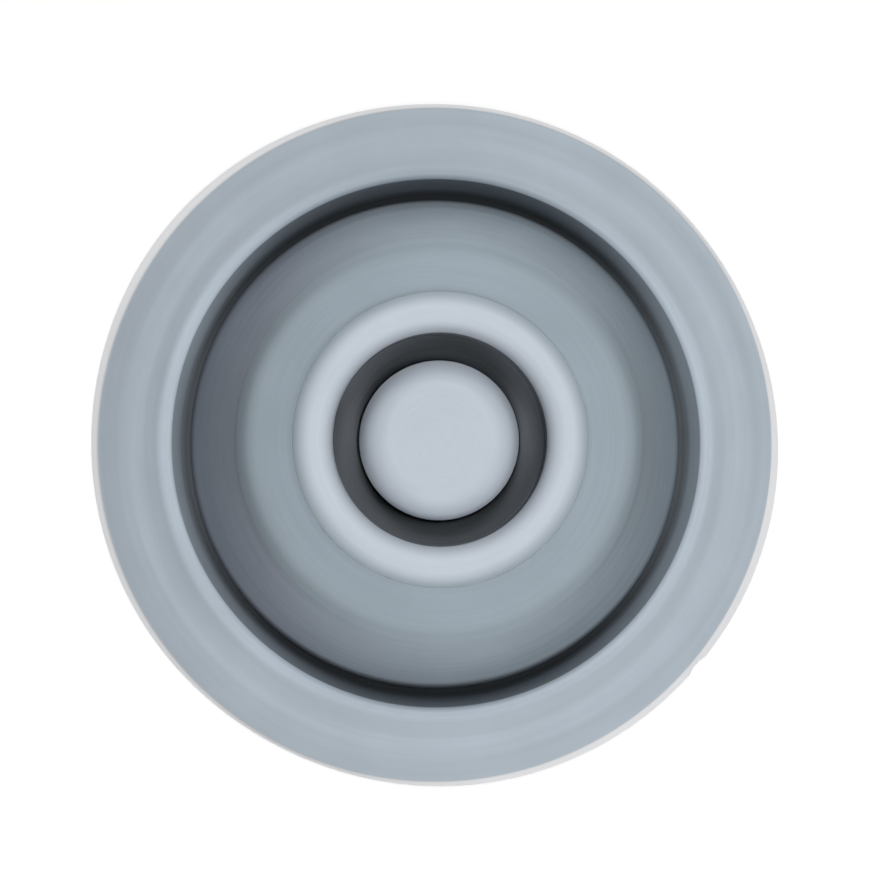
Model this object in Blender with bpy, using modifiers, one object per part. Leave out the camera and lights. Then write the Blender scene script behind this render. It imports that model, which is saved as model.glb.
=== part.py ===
"""Press-button bath stopper: a silicone skirt clamped between a drum and a base plate.

The button in the middle pushes a stem down. The stem opens a rubber vent seal under the base plate,
water runs in through the gap round the button, and the stopper lets go of the drain.
Lengths are in metres, +Z is up and the stopper stands on z = 0.
"""

import math

import bmesh
import bpy
from mathutils import Vector

# Clearances
SEAT_GAP = 0.0003
BUTTON_GAP = 0.0012
NECK_CLEARANCE = 0.0010
STOP_CLEARANCE = 0.0006

# Radial steps, from the button outwards
BUTTON_RADIUS = 0.0145
WELL_WIDTH = 0.0037
BEZEL_INNER_ROLL = 0.0036
BEZEL_OUTER_ROLL = 0.0035
NECK_WALL = 0.0014
NUT_WIDTH = 0.0042
PLATE_RUN = 0.0105
DRUM_RUN = 0.0083
DRUM_BULGE = 0.0003
GROOVE_WIDTH = 0.0012
GROOVE_FLARE = 0.0022
CREST_ROLL = 0.0014
FLANGE_RUN = 0.0126
LIP_RUN = 0.0008

# Silicone skirt
SKIRT_WALL = 0.0020
CREST_HEIGHT = 0.0078
CREST_DROP = 0.0006
WAIST_RUN = 0.0061
WAIST_DROP = 0.0031
WAIST_SLOPE = 0.43
EDGE_SLOPE = 0.60
BEAD_PULL = 0.28
WAIST_PULL = 0.56
FLANGE_EDGE = 0.0010
LIP_THICKNESS = 0.0005
LIP_FOOT_WIDTH = 0.0016
GROOVE_FLOOR = 0.0011
GROOVE_ROUND = 0.0004
CLAMP_WIDTH = 0.0042
CLAMP_NECK = 0.0017
CLAMP_THICKNESS = 0.0015

# Drum, cover, bezel and button guide
CURTAIN_WALL = 0.0017
SHELL_WALL = 0.0020
FOOT_RIM = 0.0016
DECK_THICKNESS = 0.0020
PLATE_WALL = 0.0018
PLATE_SIDE = 0.0004
PLATE_ROLL_RUN = 0.0033
PLATE_ROLL_DROP = 0.0030
PLATE_ROLL_PULL = 0.45
PLATE_EDGE_PULL = 0.18
PLATE_EDGE_SLOPE = 2.36
PLATE_RISE = 0.0013
PLATE_RECESS = 0.0012
BEZEL_RISE = 0.0022
BEZEL_SINK = 0.0012
BEZEL_LAND = 0.0003
BEZEL_CREST_PULL = 0.44
BEZEL_RIM_PULL = 0.19
BEZEL_RIM_SLOPE = 2.05
GUIDE_FLANGE = 0.0011
WELL_FLOOR = 0.0015
WELL_DRAFT = 0.0003
ROLL_PULL = 0.55
NUT_THICKNESS = 0.0024
NUT_NOTCH_RADIUS = 0.0012
NUT_NOTCHES = 6

# Base plate
FOOT_RECESS = 0.0004
BASE_WALL = 0.0012
SCREW_POCKET = 0.0026
DISH_DRAFT = 0.0020
CAVITY_HEIGHT = 0.0110
HUB_WALL = 0.0017
VENT_CIRCLE = 0.0094
VENT_RADIUS = 0.0017
VENT_COUNT = 6

# Base screws
SCREW_COUNT = 6
SCREW_RADIUS = 0.0012
SCREW_LENGTH = 0.0080
SCREW_HEAD_RADIUS = 0.0026
SCREW_HEAD_HEIGHT = 0.0013
SCREW_SLOT_WIDTH = 0.0007
SCREW_SLOT_DEPTH = 0.0006
SCREW_CLEARANCE = 0.0004
BOSS_WALL = 0.0009

# Ballast
BALLAST_WIDTH = 0.0160
BALLAST_THICKNESS = 0.0025
BALLAST_INSET = 0.0018
BALLAST_CHAMFER = 0.0004
BALLAST_RIM_HEIGHT = 0.0012

# Button, stem and vent seal
BUTTON_TRAVEL = 0.0030
BUTTON_DROP = 0.0018
BUTTON_CROWN = 0.0002
BUTTON_EDGE_RUN = 0.0056
BUTTON_EDGE_DROP = 0.0054
BUTTON_WALL = 0.0016
BUTTON_BOSS_WALL = 0.0017
BUTTON_BOSS_DEPTH = 0.0030
STEM_RADIUS = 0.0022
STEM_NECK_RADIUS = 0.0017
STEM_TAIL = 0.0012
STEM_CHAMFER = 0.0004
SEAL_MARGIN = 0.0014
SEAL_THICKNESS = 0.0015
WASHER_INSET = 0.0030
WASHER_THICKNESS = 0.0008
CLIP_WIDTH = 0.0018
CLIP_THICKNESS = 0.0006
CLIP_GROOVE_DEPTH = 0.0006
CLIP_MOUTH = 0.0020

# Return spring
SPRING_WIRE_RADIUS = 0.00045
SPRING_CURLS = 5.5
SPRING_POINTS_PER_CURL = 10
SPRING_HUB_GAP = 0.0006
SPRING_SEAT_WIDTH = 0.0022
SPRING_SEAT_THICKNESS = 0.0006

# Facets round a full turn
LARGE_STEPS = 40
SMALL_STEPS = 20

# Radii worked out from the steps
throat_r = BUTTON_RADIUS + BUTTON_GAP
bezel_edge_r = throat_r + WELL_WIDTH
bezel_crest_r = bezel_edge_r + BEZEL_INNER_ROLL
bezel_r = bezel_crest_r + BEZEL_OUTER_ROLL
neck_r = bezel_edge_r + NECK_WALL
neck_hole_r = neck_r + SEAT_GAP
nut_r = neck_hole_r + NUT_WIDTH
plate_seat_r = bezel_r + SEAT_GAP
plate_r = bezel_r + PLATE_RUN
drum_foot_r = plate_r + DRUM_RUN
groove_r = drum_foot_r + GROOVE_WIDTH
skirt_edge_r = groove_r + GROOVE_FLARE
crest_r = skirt_edge_r + CREST_ROLL
flange_r = crest_r + FLANGE_RUN
skirt_r = flange_r + LIP_RUN
curtain_r = drum_foot_r - CURTAIN_WALL
clamp_r = curtain_r - SEAT_GAP
clamp_inner_r = clamp_r - CLAMP_WIDTH
foot_inner_r = clamp_r - CLAMP_NECK
foot_r = groove_r + SKIRT_WALL
step_r = clamp_inner_r - SEAT_GAP
screw_circle_r = step_r - BASE_WALL - SCREW_CLEARANCE - SCREW_HEAD_RADIUS
pilot_r = SCREW_RADIUS + SEAT_GAP
boss_r = pilot_r + BOSS_WALL
dish_r = screw_circle_r - max(boss_r, SCREW_HEAD_RADIUS) - SEAT_GAP
disc_r = dish_r - DISH_DRAFT
ballast_r = disc_r - BALLAST_INSET
stem_bore_r = STEM_RADIUS + SEAT_GAP
hub_r = stem_bore_r + HUB_WALL
button_boss_r = stem_bore_r + BUTTON_BOSS_WALL
spring_r = max(hub_r, button_boss_r) + SPRING_HUB_GAP + SPRING_WIRE_RADIUS
spring_seat_r = hub_r + SEAT_GAP
seal_r = VENT_CIRCLE + VENT_RADIUS + SEAL_MARGIN
washer_r = seal_r - WASHER_INSET
seal_hole_r = STEM_NECK_RADIUS + SEAT_GAP
clip_groove_r = STEM_NECK_RADIUS - CLIP_GROOVE_DEPTH
clip_hole_r = clip_groove_r + SEAT_GAP
clip_r = clip_hole_r + CLIP_WIDTH

# Heights worked out from the floor up
base_flange_top = FOOT_RECESS + BASE_WALL
clamp_bottom = base_flange_top + SEAT_GAP
clamp_top = clamp_bottom + CLAMP_THICKNESS
shell_foot = clamp_top + SEAT_GAP
curtain_bottom = GROOVE_FLOOR + SEAT_GAP
land_top = SCREW_POCKET + BASE_WALL
boss_bottom = land_top + SEAT_GAP
disc_top = CAVITY_HEIGHT + BASE_WALL
ballast_bottom = disc_top + SEAT_GAP
ballast_top = ballast_bottom + BALLAST_THICKNESS
neck_bottom = ballast_top + NECK_CLEARANCE
nut_bottom = neck_bottom + SEAT_GAP
nut_top = nut_bottom + NUT_THICKNESS
deck_bottom = nut_top + SEAT_GAP
deck_top = deck_bottom + DECK_THICKNESS
plate_bottom = deck_top + SEAT_GAP
plate_edge_top = plate_bottom + PLATE_SIDE + PLATE_ROLL_DROP
plate_top = plate_edge_top + PLATE_RISE
bezel_top = plate_top + BEZEL_RISE
bezel_bottom = plate_top - BEZEL_SINK
bezel_edge = bezel_bottom + BEZEL_LAND
guide_top = bezel_bottom - SEAT_GAP
guide_flange_bottom = guide_top - GUIDE_FLANGE
plate_seat = guide_flange_bottom - SEAT_GAP
well_floor = neck_bottom + WELL_FLOOR
button_top = bezel_top - BUTTON_DROP
button_bottom = ballast_top + BUTTON_TRAVEL + STOP_CLEARANCE
button_ceiling = button_top - BUTTON_WALL
button_boss_bottom = button_ceiling - BUTTON_BOSS_DEPTH
hub_top = button_boss_bottom - BUTTON_TRAVEL - STOP_CLEARANCE
stem_top = button_ceiling - SEAT_GAP
spring_seat_bottom = disc_top + SEAT_GAP
spring_seat_top = spring_seat_bottom + SPRING_SEAT_THICKNESS
spring_bottom = spring_seat_top + SEAT_GAP
spring_top = button_ceiling - SEAT_GAP
seal_top = CAVITY_HEIGHT - SEAT_GAP
seal_bottom = seal_top - SEAL_THICKNESS
stem_shoulder = CAVITY_HEIGHT
washer_top = seal_bottom - SEAT_GAP
washer_bottom = washer_top - WASHER_THICKNESS
clip_top = washer_bottom - SEAT_GAP
clip_bottom = clip_top - CLIP_THICKNESS
stem_bottom = clip_bottom - SEAT_GAP - STEM_TAIL

# Finishes: linear colour, roughness, metallic
SILICONE = ((0.40, 0.46, 0.51), 0.55, 0.0)
MOULDED_GREY = ((0.42, 0.48, 0.53), 0.48, 0.0)
PALE_GREY = ((0.52, 0.58, 0.63), 0.45, 0.0)
DARK_GREY = ((0.10, 0.11, 0.12), 0.50, 0.0)
BLACK_RUBBER = ((0.03, 0.03, 0.03), 0.70, 0.0)
STEEL = ((0.60, 0.61, 0.62), 0.30, 1.0)
COATED_STEEL = ((0.04, 0.04, 0.045), 0.55, 0.0)


def clear_scene():
    """Remove every object that the file opens with."""
    for old in list(bpy.data.objects):
        bpy.data.objects.remove(old, do_unlink=True)


def new_collection(name):
    """A collection under the scene's own."""
    collection = bpy.data.collections.new(name)
    bpy.context.scene.collection.children.link(collection)
    return collection


def finish_material(name, finish):
    """A plain Principled material for one piece."""
    colour, roughness, metallic = finish
    material = bpy.data.materials.new(name)
    material.use_nodes = True
    shader = material.node_tree.nodes["Principled BSDF"]
    shader.inputs["Base Color"].default_value = (*colour, 1.0)
    shader.inputs["Roughness"].default_value = roughness
    shader.inputs["Metallic"].default_value = metallic
    return material


def curve_points(start, pull_start, pull_end, end, count):
    """Points of a cubic curve after its start, up to and with its end."""
    points = []
    for step in range(1, count + 1):
        t = step / count
        weights = ((1 - t) ** 3, 3 * t * (1 - t) ** 2, 3 * t * t * (1 - t), t ** 3)
        corners = (start, pull_start, pull_end, end)
        r = sum(w * corner[0] for w, corner in zip(weights, corners))
        z = sum(w * corner[1] for w, corner in zip(weights, corners))
        points.append((r, z))
    return points


def add_object(name, data, collection, parent=None):
    """Link a new object under its parent."""
    obj = bpy.data.objects.new(name, data)
    collection.objects.link(obj)
    obj.parent = parent
    return obj


def turned(name, profile, finish, parent, steps=LARGE_STEPS, closed=True):
    """A piece turned about the Z axis from a profile of (radius, height) points."""
    mesh = bpy.data.meshes.new(name)
    edges = [(i, i + 1) for i in range(len(profile) - 1)]
    if closed:
        edges.append((len(profile) - 1, 0))
    mesh.from_pydata([(r, 0.0, z) for r, z in profile], edges, [])
    mesh.materials.append(finish_material(name, finish))
    obj = add_object(name, mesh, parts, parent)
    screw = obj.modifiers.new("turn", "SCREW")
    screw.steps = steps
    screw.render_steps = steps
    screw.use_merge_vertices = True
    screw.merge_threshold = 0.00001
    screw.use_smooth_shade = True
    return obj


def ring_places(count, radius, first_deg=0.0):
    """Points evenly spaced on a circle about the Z axis."""
    turns = [math.radians(first_deg + 360.0 * i / count) for i in range(count)]
    return [Vector((radius * math.cos(a), radius * math.sin(a), 0.0)) for a in turns]


def post_tool(name, places, radius, bottom, top, sides):
    """Upright round posts at several places, kept as one tool for cutting or joining."""
    work = bmesh.new()
    for place in places:
        made = bmesh.ops.create_cone(work, cap_ends=True, segments=sides, radius1=radius,
                                     radius2=radius, depth=top - bottom)
        middle = place + Vector((0.0, 0.0, (top + bottom) / 2))
        bmesh.ops.translate(work, verts=made["verts"], vec=middle)
    return tool_object(name, work)


def block_tool(name, size, middle):
    """A square block, kept as a tool for cutting."""
    work = bmesh.new()
    made = bmesh.ops.create_cube(work, size=1.0)
    bmesh.ops.scale(work, verts=made["verts"], vec=Vector(size))
    bmesh.ops.translate(work, verts=made["verts"], vec=Vector(middle))
    return tool_object(name, work)


def tool_object(name, work):
    """Put a finished bmesh in the cutters' collection."""
    mesh = bpy.data.meshes.new(name)
    work.to_mesh(mesh)
    work.free()
    tool = add_object(name, mesh, cutters)
    tool.hide_render = True
    tool.display_type = "WIRE"
    return tool


def boolean(obj, tool, operation):
    """Cut or join a piece with a tool."""
    change = obj.modifiers.new(tool.name, "BOOLEAN")
    change.operation = operation
    change.solver = "EXACT"
    change.object = tool


def drum_radius(z):
    """Outer radius of the drum at a height: a cone with a slight barrel."""
    share = (z - curtain_bottom) / (deck_top - curtain_bottom)
    return drum_foot_r - DRUM_RUN * share + DRUM_BULGE * 4 * share * (1 - share)


def drum_side(inset, bottom, top, count):
    """Points down the drum's side, from top to bottom, set in by a wall."""
    levels = [top + (bottom - top) * i / count for i in range(count + 1)]
    return [(drum_radius(z) - inset, z) for z in levels]


def make_sealing_skirt():
    """Silicone flange: clamp lip, groove, raised bead, waisted slope, feather lip and flat seal foot."""
    edge = (skirt_edge_r, CREST_HEIGHT - CREST_DROP)
    crest = (crest_r, CREST_HEIGHT)
    waist = (crest_r + WAIST_RUN, CREST_HEIGHT - WAIST_DROP)
    flange_edge = (flange_r, FLANGE_EDGE)
    lip_foot = (skirt_r - LIP_FOOT_WIDTH, 0.0)
    leg_top = (skirt_edge_r + SKIRT_WALL, edge[1] - SKIRT_WALL)
    bead_pull = WAIST_RUN * BEAD_PULL
    waist_pull = WAIST_RUN * WAIST_PULL
    slope_pull = (flange_r - waist[0]) / 3
    profile = [(clamp_inner_r, clamp_top), (clamp_r, clamp_top), (clamp_r, GROOVE_FLOOR)]
    profile += [(groove_r - GROOVE_ROUND, GROOVE_FLOOR), (groove_r, GROOVE_FLOOR + GROOVE_ROUND), edge]
    profile += curve_points(edge, (skirt_edge_r, CREST_HEIGHT - CREST_DROP * (1 - ROLL_PULL)),
                            (crest_r - CREST_ROLL * ROLL_PULL, CREST_HEIGHT), crest, 4)
    profile += curve_points(crest, (crest_r + bead_pull, CREST_HEIGHT),
                            (waist[0] - waist_pull, waist[1] + waist_pull * WAIST_SLOPE), waist, 6)
    profile += curve_points(waist, (waist[0] + slope_pull, waist[1] - slope_pull * WAIST_SLOPE),
                            (flange_r - slope_pull, FLANGE_EDGE + slope_pull * EDGE_SLOPE), flange_edge, 4)
    profile += [(flange_r, LIP_THICKNESS), (skirt_r, LIP_THICKNESS / 2), (skirt_r, 0.0), lip_foot]
    profile += [leg_top, (foot_r, 0.0), (foot_inner_r, 0.0), (foot_inner_r, clamp_bottom)]
    profile += [(clamp_inner_r, clamp_bottom)]
    return turned("sealing_skirt", profile, SILICONE, root)


def make_bell_shell():
    """Drum with a flat deck, a foot rim over the clamp lip, and six screw bosses."""
    wall_bottom = shell_foot + FOOT_RIM
    profile = [(neck_hole_r, deck_top)]
    profile += drum_side(0.0, curtain_bottom, deck_top, 6)
    profile += [(curtain_r, curtain_bottom), (curtain_r, shell_foot), (clamp_inner_r, shell_foot)]
    profile += [(clamp_inner_r, wall_bottom)]
    profile += drum_side(SHELL_WALL, wall_bottom, deck_bottom, 4)[::-1]
    profile += [(neck_hole_r, deck_bottom)]
    shell = turned("bell_shell", profile, MOULDED_GREY, root)
    places = ring_places(SCREW_COUNT, screw_circle_r)
    boss_reach = screw_circle_r + boss_r + SHELL_WALL / 2
    boss_share = (drum_foot_r - boss_reach) / DRUM_RUN
    wall_top = curtain_bottom + boss_share * (deck_top - curtain_bottom)
    boss_top = min(wall_top, deck_top - DECK_THICKNESS / 2)
    hole_top = boss_bottom + SCREW_LENGTH
    bosses = post_tool("screw_bosses", places, boss_r, boss_bottom, boss_top, 14)
    pilots = post_tool("pilot_holes", places, pilot_r, boss_bottom - SEAT_GAP, hole_top, 10)
    boolean(shell, bosses, "UNION")
    boolean(shell, pilots, "DIFFERENCE")
    return shell


def make_top_plate():
    """Sloping cover with a rolled edge, a sunk seat for the guide and bezel, and a relieved underside."""
    shoulder = (plate_r - PLATE_ROLL_RUN, plate_edge_top)
    side = (plate_r, plate_bottom + PLATE_SIDE)
    slope = PLATE_RISE / (shoulder[0] - plate_seat_r)
    roll_pull = PLATE_ROLL_RUN * PLATE_ROLL_PULL
    edge_pull = PLATE_ROLL_RUN * PLATE_EDGE_PULL
    recess_top = plate_bottom + PLATE_RECESS
    recess_r = plate_r - PLATE_WALL
    rib_r = plate_seat_r + PLATE_WALL
    profile = [(neck_hole_r, plate_seat), (plate_seat_r, plate_seat), (plate_seat_r, plate_top), shoulder]
    profile += curve_points(shoulder, (shoulder[0] + roll_pull, plate_edge_top - roll_pull * slope),
                            (plate_r - edge_pull, side[1] + edge_pull * PLATE_EDGE_SLOPE), side, 5)
    profile += [(plate_r, plate_bottom), (recess_r, plate_bottom), (recess_r, recess_top)]
    profile += [(rib_r, recess_top), (rib_r, plate_bottom), (neck_hole_r, plate_bottom)]
    return turned("top_plate", profile, MOULDED_GREY, root)


def make_button_bezel():
    """Half-round trim ring that stands on the guide's flange."""
    edge = (bezel_edge_r, bezel_edge)
    crest = (bezel_crest_r, bezel_top)
    rim = (bezel_r, plate_top)
    edge_pull = (bezel_top - bezel_edge) * ROLL_PULL
    rim_pull = BEZEL_OUTER_ROLL * BEZEL_RIM_PULL
    profile = [(bezel_edge_r, bezel_bottom), edge]
    profile += curve_points(edge, (bezel_edge_r, bezel_edge + edge_pull),
                            (bezel_crest_r - BEZEL_INNER_ROLL * ROLL_PULL, bezel_top), crest, 6)
    profile += curve_points(crest, (bezel_crest_r + BEZEL_OUTER_ROLL * BEZEL_CREST_PULL, bezel_top),
                            (bezel_r - rim_pull, plate_top + rim_pull * BEZEL_RIM_SLOPE), rim, 6)
    profile += [(bezel_r, bezel_bottom)]
    return turned("button_bezel", profile, PALE_GREY, root)


def make_button_guide():
    """Dark cup round the button: a flange on the cover's seat, a neck and a floor with the throat."""
    profile = [(bezel_edge_r - WELL_DRAFT, well_floor), (bezel_edge_r, guide_top), (bezel_r, guide_top)]
    profile += [(bezel_r, guide_flange_bottom), (neck_r, guide_flange_bottom), (neck_r, neck_bottom)]
    profile += [(throat_r, neck_bottom), (throat_r, well_floor)]
    return turned("button_guide", profile, DARK_GREY, root)


def make_bezel_nut():
    """Ring nut on the guide's neck, under the deck, with notches for a pin spanner."""
    profile = [(neck_hole_r, nut_top), (nut_r, nut_top), (nut_r, nut_bottom), (neck_hole_r, nut_bottom)]
    nut = turned("bezel_nut", profile, DARK_GREY, root)
    places = ring_places(NUT_NOTCHES, nut_r, 180.0 / NUT_NOTCHES)
    notches = post_tool("nut_notches", places, NUT_NOTCH_RADIUS, nut_bottom - SEAT_GAP,
                        nut_top + SEAT_GAP, 8)
    boolean(nut, notches, "DIFFERENCE")
    return nut


def make_base_plate():
    """Stepped dish: clamp flange, screw land, drain cavity, vent disc, ballast rim and stem hub."""
    step_inner_r = step_r - BASE_WALL
    clamp_flange_r = foot_inner_r - SEAT_GAP
    dish_inner_r = dish_r - BASE_WALL
    disc_inner_r = disc_r - BASE_WALL
    rim_inner_r = ballast_r + SEAT_GAP
    rim_top = disc_top + BALLAST_RIM_HEIGHT
    profile = [(stem_bore_r, hub_top), (hub_r, hub_top), (hub_r, disc_top), (rim_inner_r, disc_top)]
    profile += [(rim_inner_r, rim_top), (disc_r, rim_top), (disc_r, disc_top)]
    profile += [(dish_r, land_top), (step_r, land_top), (step_r, base_flange_top)]
    profile += [(clamp_flange_r, base_flange_top), (clamp_flange_r, FOOT_RECESS)]
    profile += [(step_inner_r, FOOT_RECESS)]
    profile += [(step_inner_r, SCREW_POCKET), (dish_inner_r, SCREW_POCKET)]
    profile += [(disc_inner_r, CAVITY_HEIGHT), (stem_bore_r, CAVITY_HEIGHT)]
    base = turned("base_plate", profile, DARK_GREY, root)
    screw_places = ring_places(SCREW_COUNT, screw_circle_r)
    screw_holes = post_tool("screw_holes", screw_places, pilot_r, SCREW_POCKET - SEAT_GAP,
                            land_top + SEAT_GAP, 10)
    vent_places = ring_places(VENT_COUNT, VENT_CIRCLE, 180.0 / VENT_COUNT)
    vents = post_tool("vent_holes", vent_places, VENT_RADIUS, CAVITY_HEIGHT - SEAT_GAP,
                      disc_top + SEAT_GAP, 12)
    boolean(base, screw_holes, "DIFFERENCE")
    boolean(base, vents, "DIFFERENCE")
    return base


def make_ballast_ring():
    """Flat steel ring with broken edges and a dark rust-proof coat, resting on the vent disc."""
    inner_r = ballast_r - BALLAST_WIDTH
    cut = BALLAST_CHAMFER
    profile = [(inner_r, ballast_top), (ballast_r - cut, ballast_top), (ballast_r, ballast_top - cut)]
    profile += [(ballast_r, ballast_bottom), (inner_r, ballast_bottom)]
    return turned("ballast_ring", profile, COATED_STEEL, root)


def make_base_screws():
    """Slotted pan-head screws, one object each, all sharing one mesh."""
    head_top = SCREW_POCKET - SEAT_GAP
    head_bottom = head_top - SCREW_HEAD_HEIGHT
    tip = head_top + SCREW_LENGTH
    tip_cone = SCREW_RADIUS
    profile = [(0.0, tip), (SCREW_RADIUS / 2, tip), (SCREW_RADIUS, tip - tip_cone), (SCREW_RADIUS, head_top)]
    profile += [(SCREW_HEAD_RADIUS, head_top), (SCREW_HEAD_RADIUS, head_top - SCREW_HEAD_HEIGHT / 2)]
    profile += [(SCREW_HEAD_RADIUS * 0.75, head_bottom), (0.0, head_bottom)]
    model = turned("screw_model", profile, STEEL, root, steps=12, closed=False)
    slot_size = (SCREW_HEAD_RADIUS * 3, SCREW_SLOT_WIDTH, SCREW_SLOT_DEPTH * 2)
    slot = block_tool("screw_slot", slot_size, (0.0, 0.0, head_bottom))
    boolean(model, slot, "DIFFERENCE")
    shape = bpy.data.meshes.new_from_object(model.evaluated_get(bpy.context.evaluated_depsgraph_get()))
    shape.name = "base_screw"
    bpy.data.objects.remove(model, do_unlink=True)
    for number, place in enumerate(ring_places(SCREW_COUNT, screw_circle_r), start=1):
        screw = add_object(f"base_screw_{number}", shape, parts, root)
        screw.location = place


def make_push_button():
    """Round cap with a flat top, a broad rolled edge and a socket for the stem."""
    inner_r = BUTTON_RADIUS - BUTTON_WALL
    shoulder = (BUTTON_RADIUS - BUTTON_EDGE_RUN, button_top - BUTTON_CROWN)
    edge = (BUTTON_RADIUS, shoulder[1] - BUTTON_EDGE_DROP)
    profile = [(0.0, button_top), (shoulder[0] / 2, button_top - BUTTON_CROWN / 4), shoulder]
    profile += curve_points(shoulder, (shoulder[0] + BUTTON_EDGE_RUN * ROLL_PULL, shoulder[1]),
                            (BUTTON_RADIUS, edge[1] + BUTTON_EDGE_DROP * ROLL_PULL), edge, 6)
    profile += [(BUTTON_RADIUS, button_bottom), (inner_r, button_bottom), (inner_r, edge[1])]
    profile += [(shoulder[0], button_ceiling), (button_boss_r, button_ceiling)]
    profile += [(button_boss_r, button_boss_bottom), (stem_bore_r, button_boss_bottom)]
    profile += [(stem_bore_r, button_ceiling), (0.0, button_ceiling)]
    return turned("push_button", profile, PALE_GREY, button_axis, closed=False)


def make_vent_stem():
    """Rod with a shoulder above the seal and a groove for the clip."""
    groove_top = clip_top + SEAT_GAP / 2
    groove_bottom = clip_bottom - SEAT_GAP / 2
    profile = [(0.0, stem_top), (STEM_RADIUS, stem_top), (STEM_RADIUS, stem_shoulder)]
    profile += [(STEM_NECK_RADIUS, stem_shoulder), (STEM_NECK_RADIUS, groove_top)]
    profile += [(clip_groove_r, groove_top), (clip_groove_r, groove_bottom)]
    profile += [(STEM_NECK_RADIUS, groove_bottom), (STEM_NECK_RADIUS, stem_bottom + STEM_CHAMFER)]
    profile += [(STEM_NECK_RADIUS - STEM_CHAMFER, stem_bottom), (0.0, stem_bottom)]
    return turned("vent_stem", profile, DARK_GREY, button_axis, SMALL_STEPS, closed=False)


def make_vent_seal():
    """Soft disc that closes the vent holes."""
    profile = [(seal_hole_r, seal_top), (seal_r, seal_top), (seal_r, seal_bottom), (seal_hole_r, seal_bottom)]
    return turned("vent_seal", profile, BLACK_RUBBER, button_axis)


def make_seal_washer():
    """Stiff disc that backs the seal."""
    profile = [(seal_hole_r, washer_top), (washer_r, washer_top), (washer_r, washer_bottom)]
    profile += [(seal_hole_r, washer_bottom)]
    return turned("seal_washer", profile, STEEL, button_axis)


def make_stem_clip():
    """Open ring in the stem's groove."""
    profile = [(clip_hole_r, clip_top), (clip_r, clip_top), (clip_r, clip_bottom), (clip_hole_r, clip_bottom)]
    clip = turned("stem_clip", profile, STEEL, button_axis, SMALL_STEPS)
    size = (clip_r * 2, CLIP_MOUTH, CLIP_THICKNESS * 3)
    mouth = block_tool("clip_mouth", size, (clip_r, 0.0, (clip_top + clip_bottom) / 2))
    boolean(clip, mouth, "DIFFERENCE")
    return clip


def make_spring_seat():
    """Thin washer that keeps the coil from cutting into the vent disc."""
    outer_r = spring_seat_r + SPRING_SEAT_WIDTH
    profile = [(spring_seat_r, spring_seat_top), (outer_r, spring_seat_top), (outer_r, spring_seat_bottom)]
    profile += [(spring_seat_r, spring_seat_bottom)]
    return turned("spring_seat", profile, STEEL, root, SMALL_STEPS)


def least_gap(points, neighbours):
    """Least distance between points of the coil that aren't close along the wire."""
    least = math.inf
    for i, first in enumerate(points):
        for second in points[i + neighbours:]:
            least = min(least, (first - second).length)
    return least


def make_return_spring():
    """Wire coil between the vent disc and the button's underside."""
    low = spring_bottom + SPRING_WIRE_RADIUS
    high = spring_top - SPRING_WIRE_RADIUS
    count = int(SPRING_CURLS * SPRING_POINTS_PER_CURL) + 1
    path = []
    for i in range(count):
        angle = 2 * math.pi * i / SPRING_POINTS_PER_CURL
        z = low + (high - low) * i / (count - 1)
        path.append(Vector((spring_r * math.cos(angle), spring_r * math.sin(angle), z)))
    curve = bpy.data.curves.new("return_spring", "CURVE")
    curve.dimensions = "3D"
    curve.bevel_depth = SPRING_WIRE_RADIUS
    curve.bevel_resolution = 1
    curve.use_fill_caps = True
    spline = curve.splines.new("POLY")
    spline.points.add(count - 1)
    for point, place in zip(spline.points, path):
        point.co = (*place, 1.0)
    curve.materials.append(finish_material("return_spring", STEEL))
    gap = least_gap(path, SPRING_POINTS_PER_CURL // 2) - 2 * SPRING_WIRE_RADIUS
    print(f"return_spring: least gap to itself {gap * 1000:.2f} mm")
    return add_object("return_spring", curve, parts, root)


clear_scene()
parts = new_collection("press_button_bath_stopper")
cutters = new_collection("cutters")
root = add_object("stopper_axis", None, parts)
button_axis = add_object("button_axis", None, parts, root)

make_sealing_skirt()
make_bell_shell()
make_top_plate()
make_button_bezel()
make_button_guide()
make_bezel_nut()
make_base_plate()
make_ballast_ring()
make_base_screws()
make_push_button()
make_vent_stem()
make_vent_seal()
make_seal_washer()
make_stem_clip()
make_spring_seat()
make_return_spring()

print(f"diameter {skirt_r * 2000:.1f} mm, height {bezel_top * 1000:.1f} mm")
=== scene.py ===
# %% [markdown]
# A press-button bath stopper, seen from straight above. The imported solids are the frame: they are
# at their real size, in metres, with the button's axis on Z and the floor at z = 0.
# This script leaves them where they are and puts a finer, finished surface over each one.

import math
from collections import namedtuple

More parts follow.
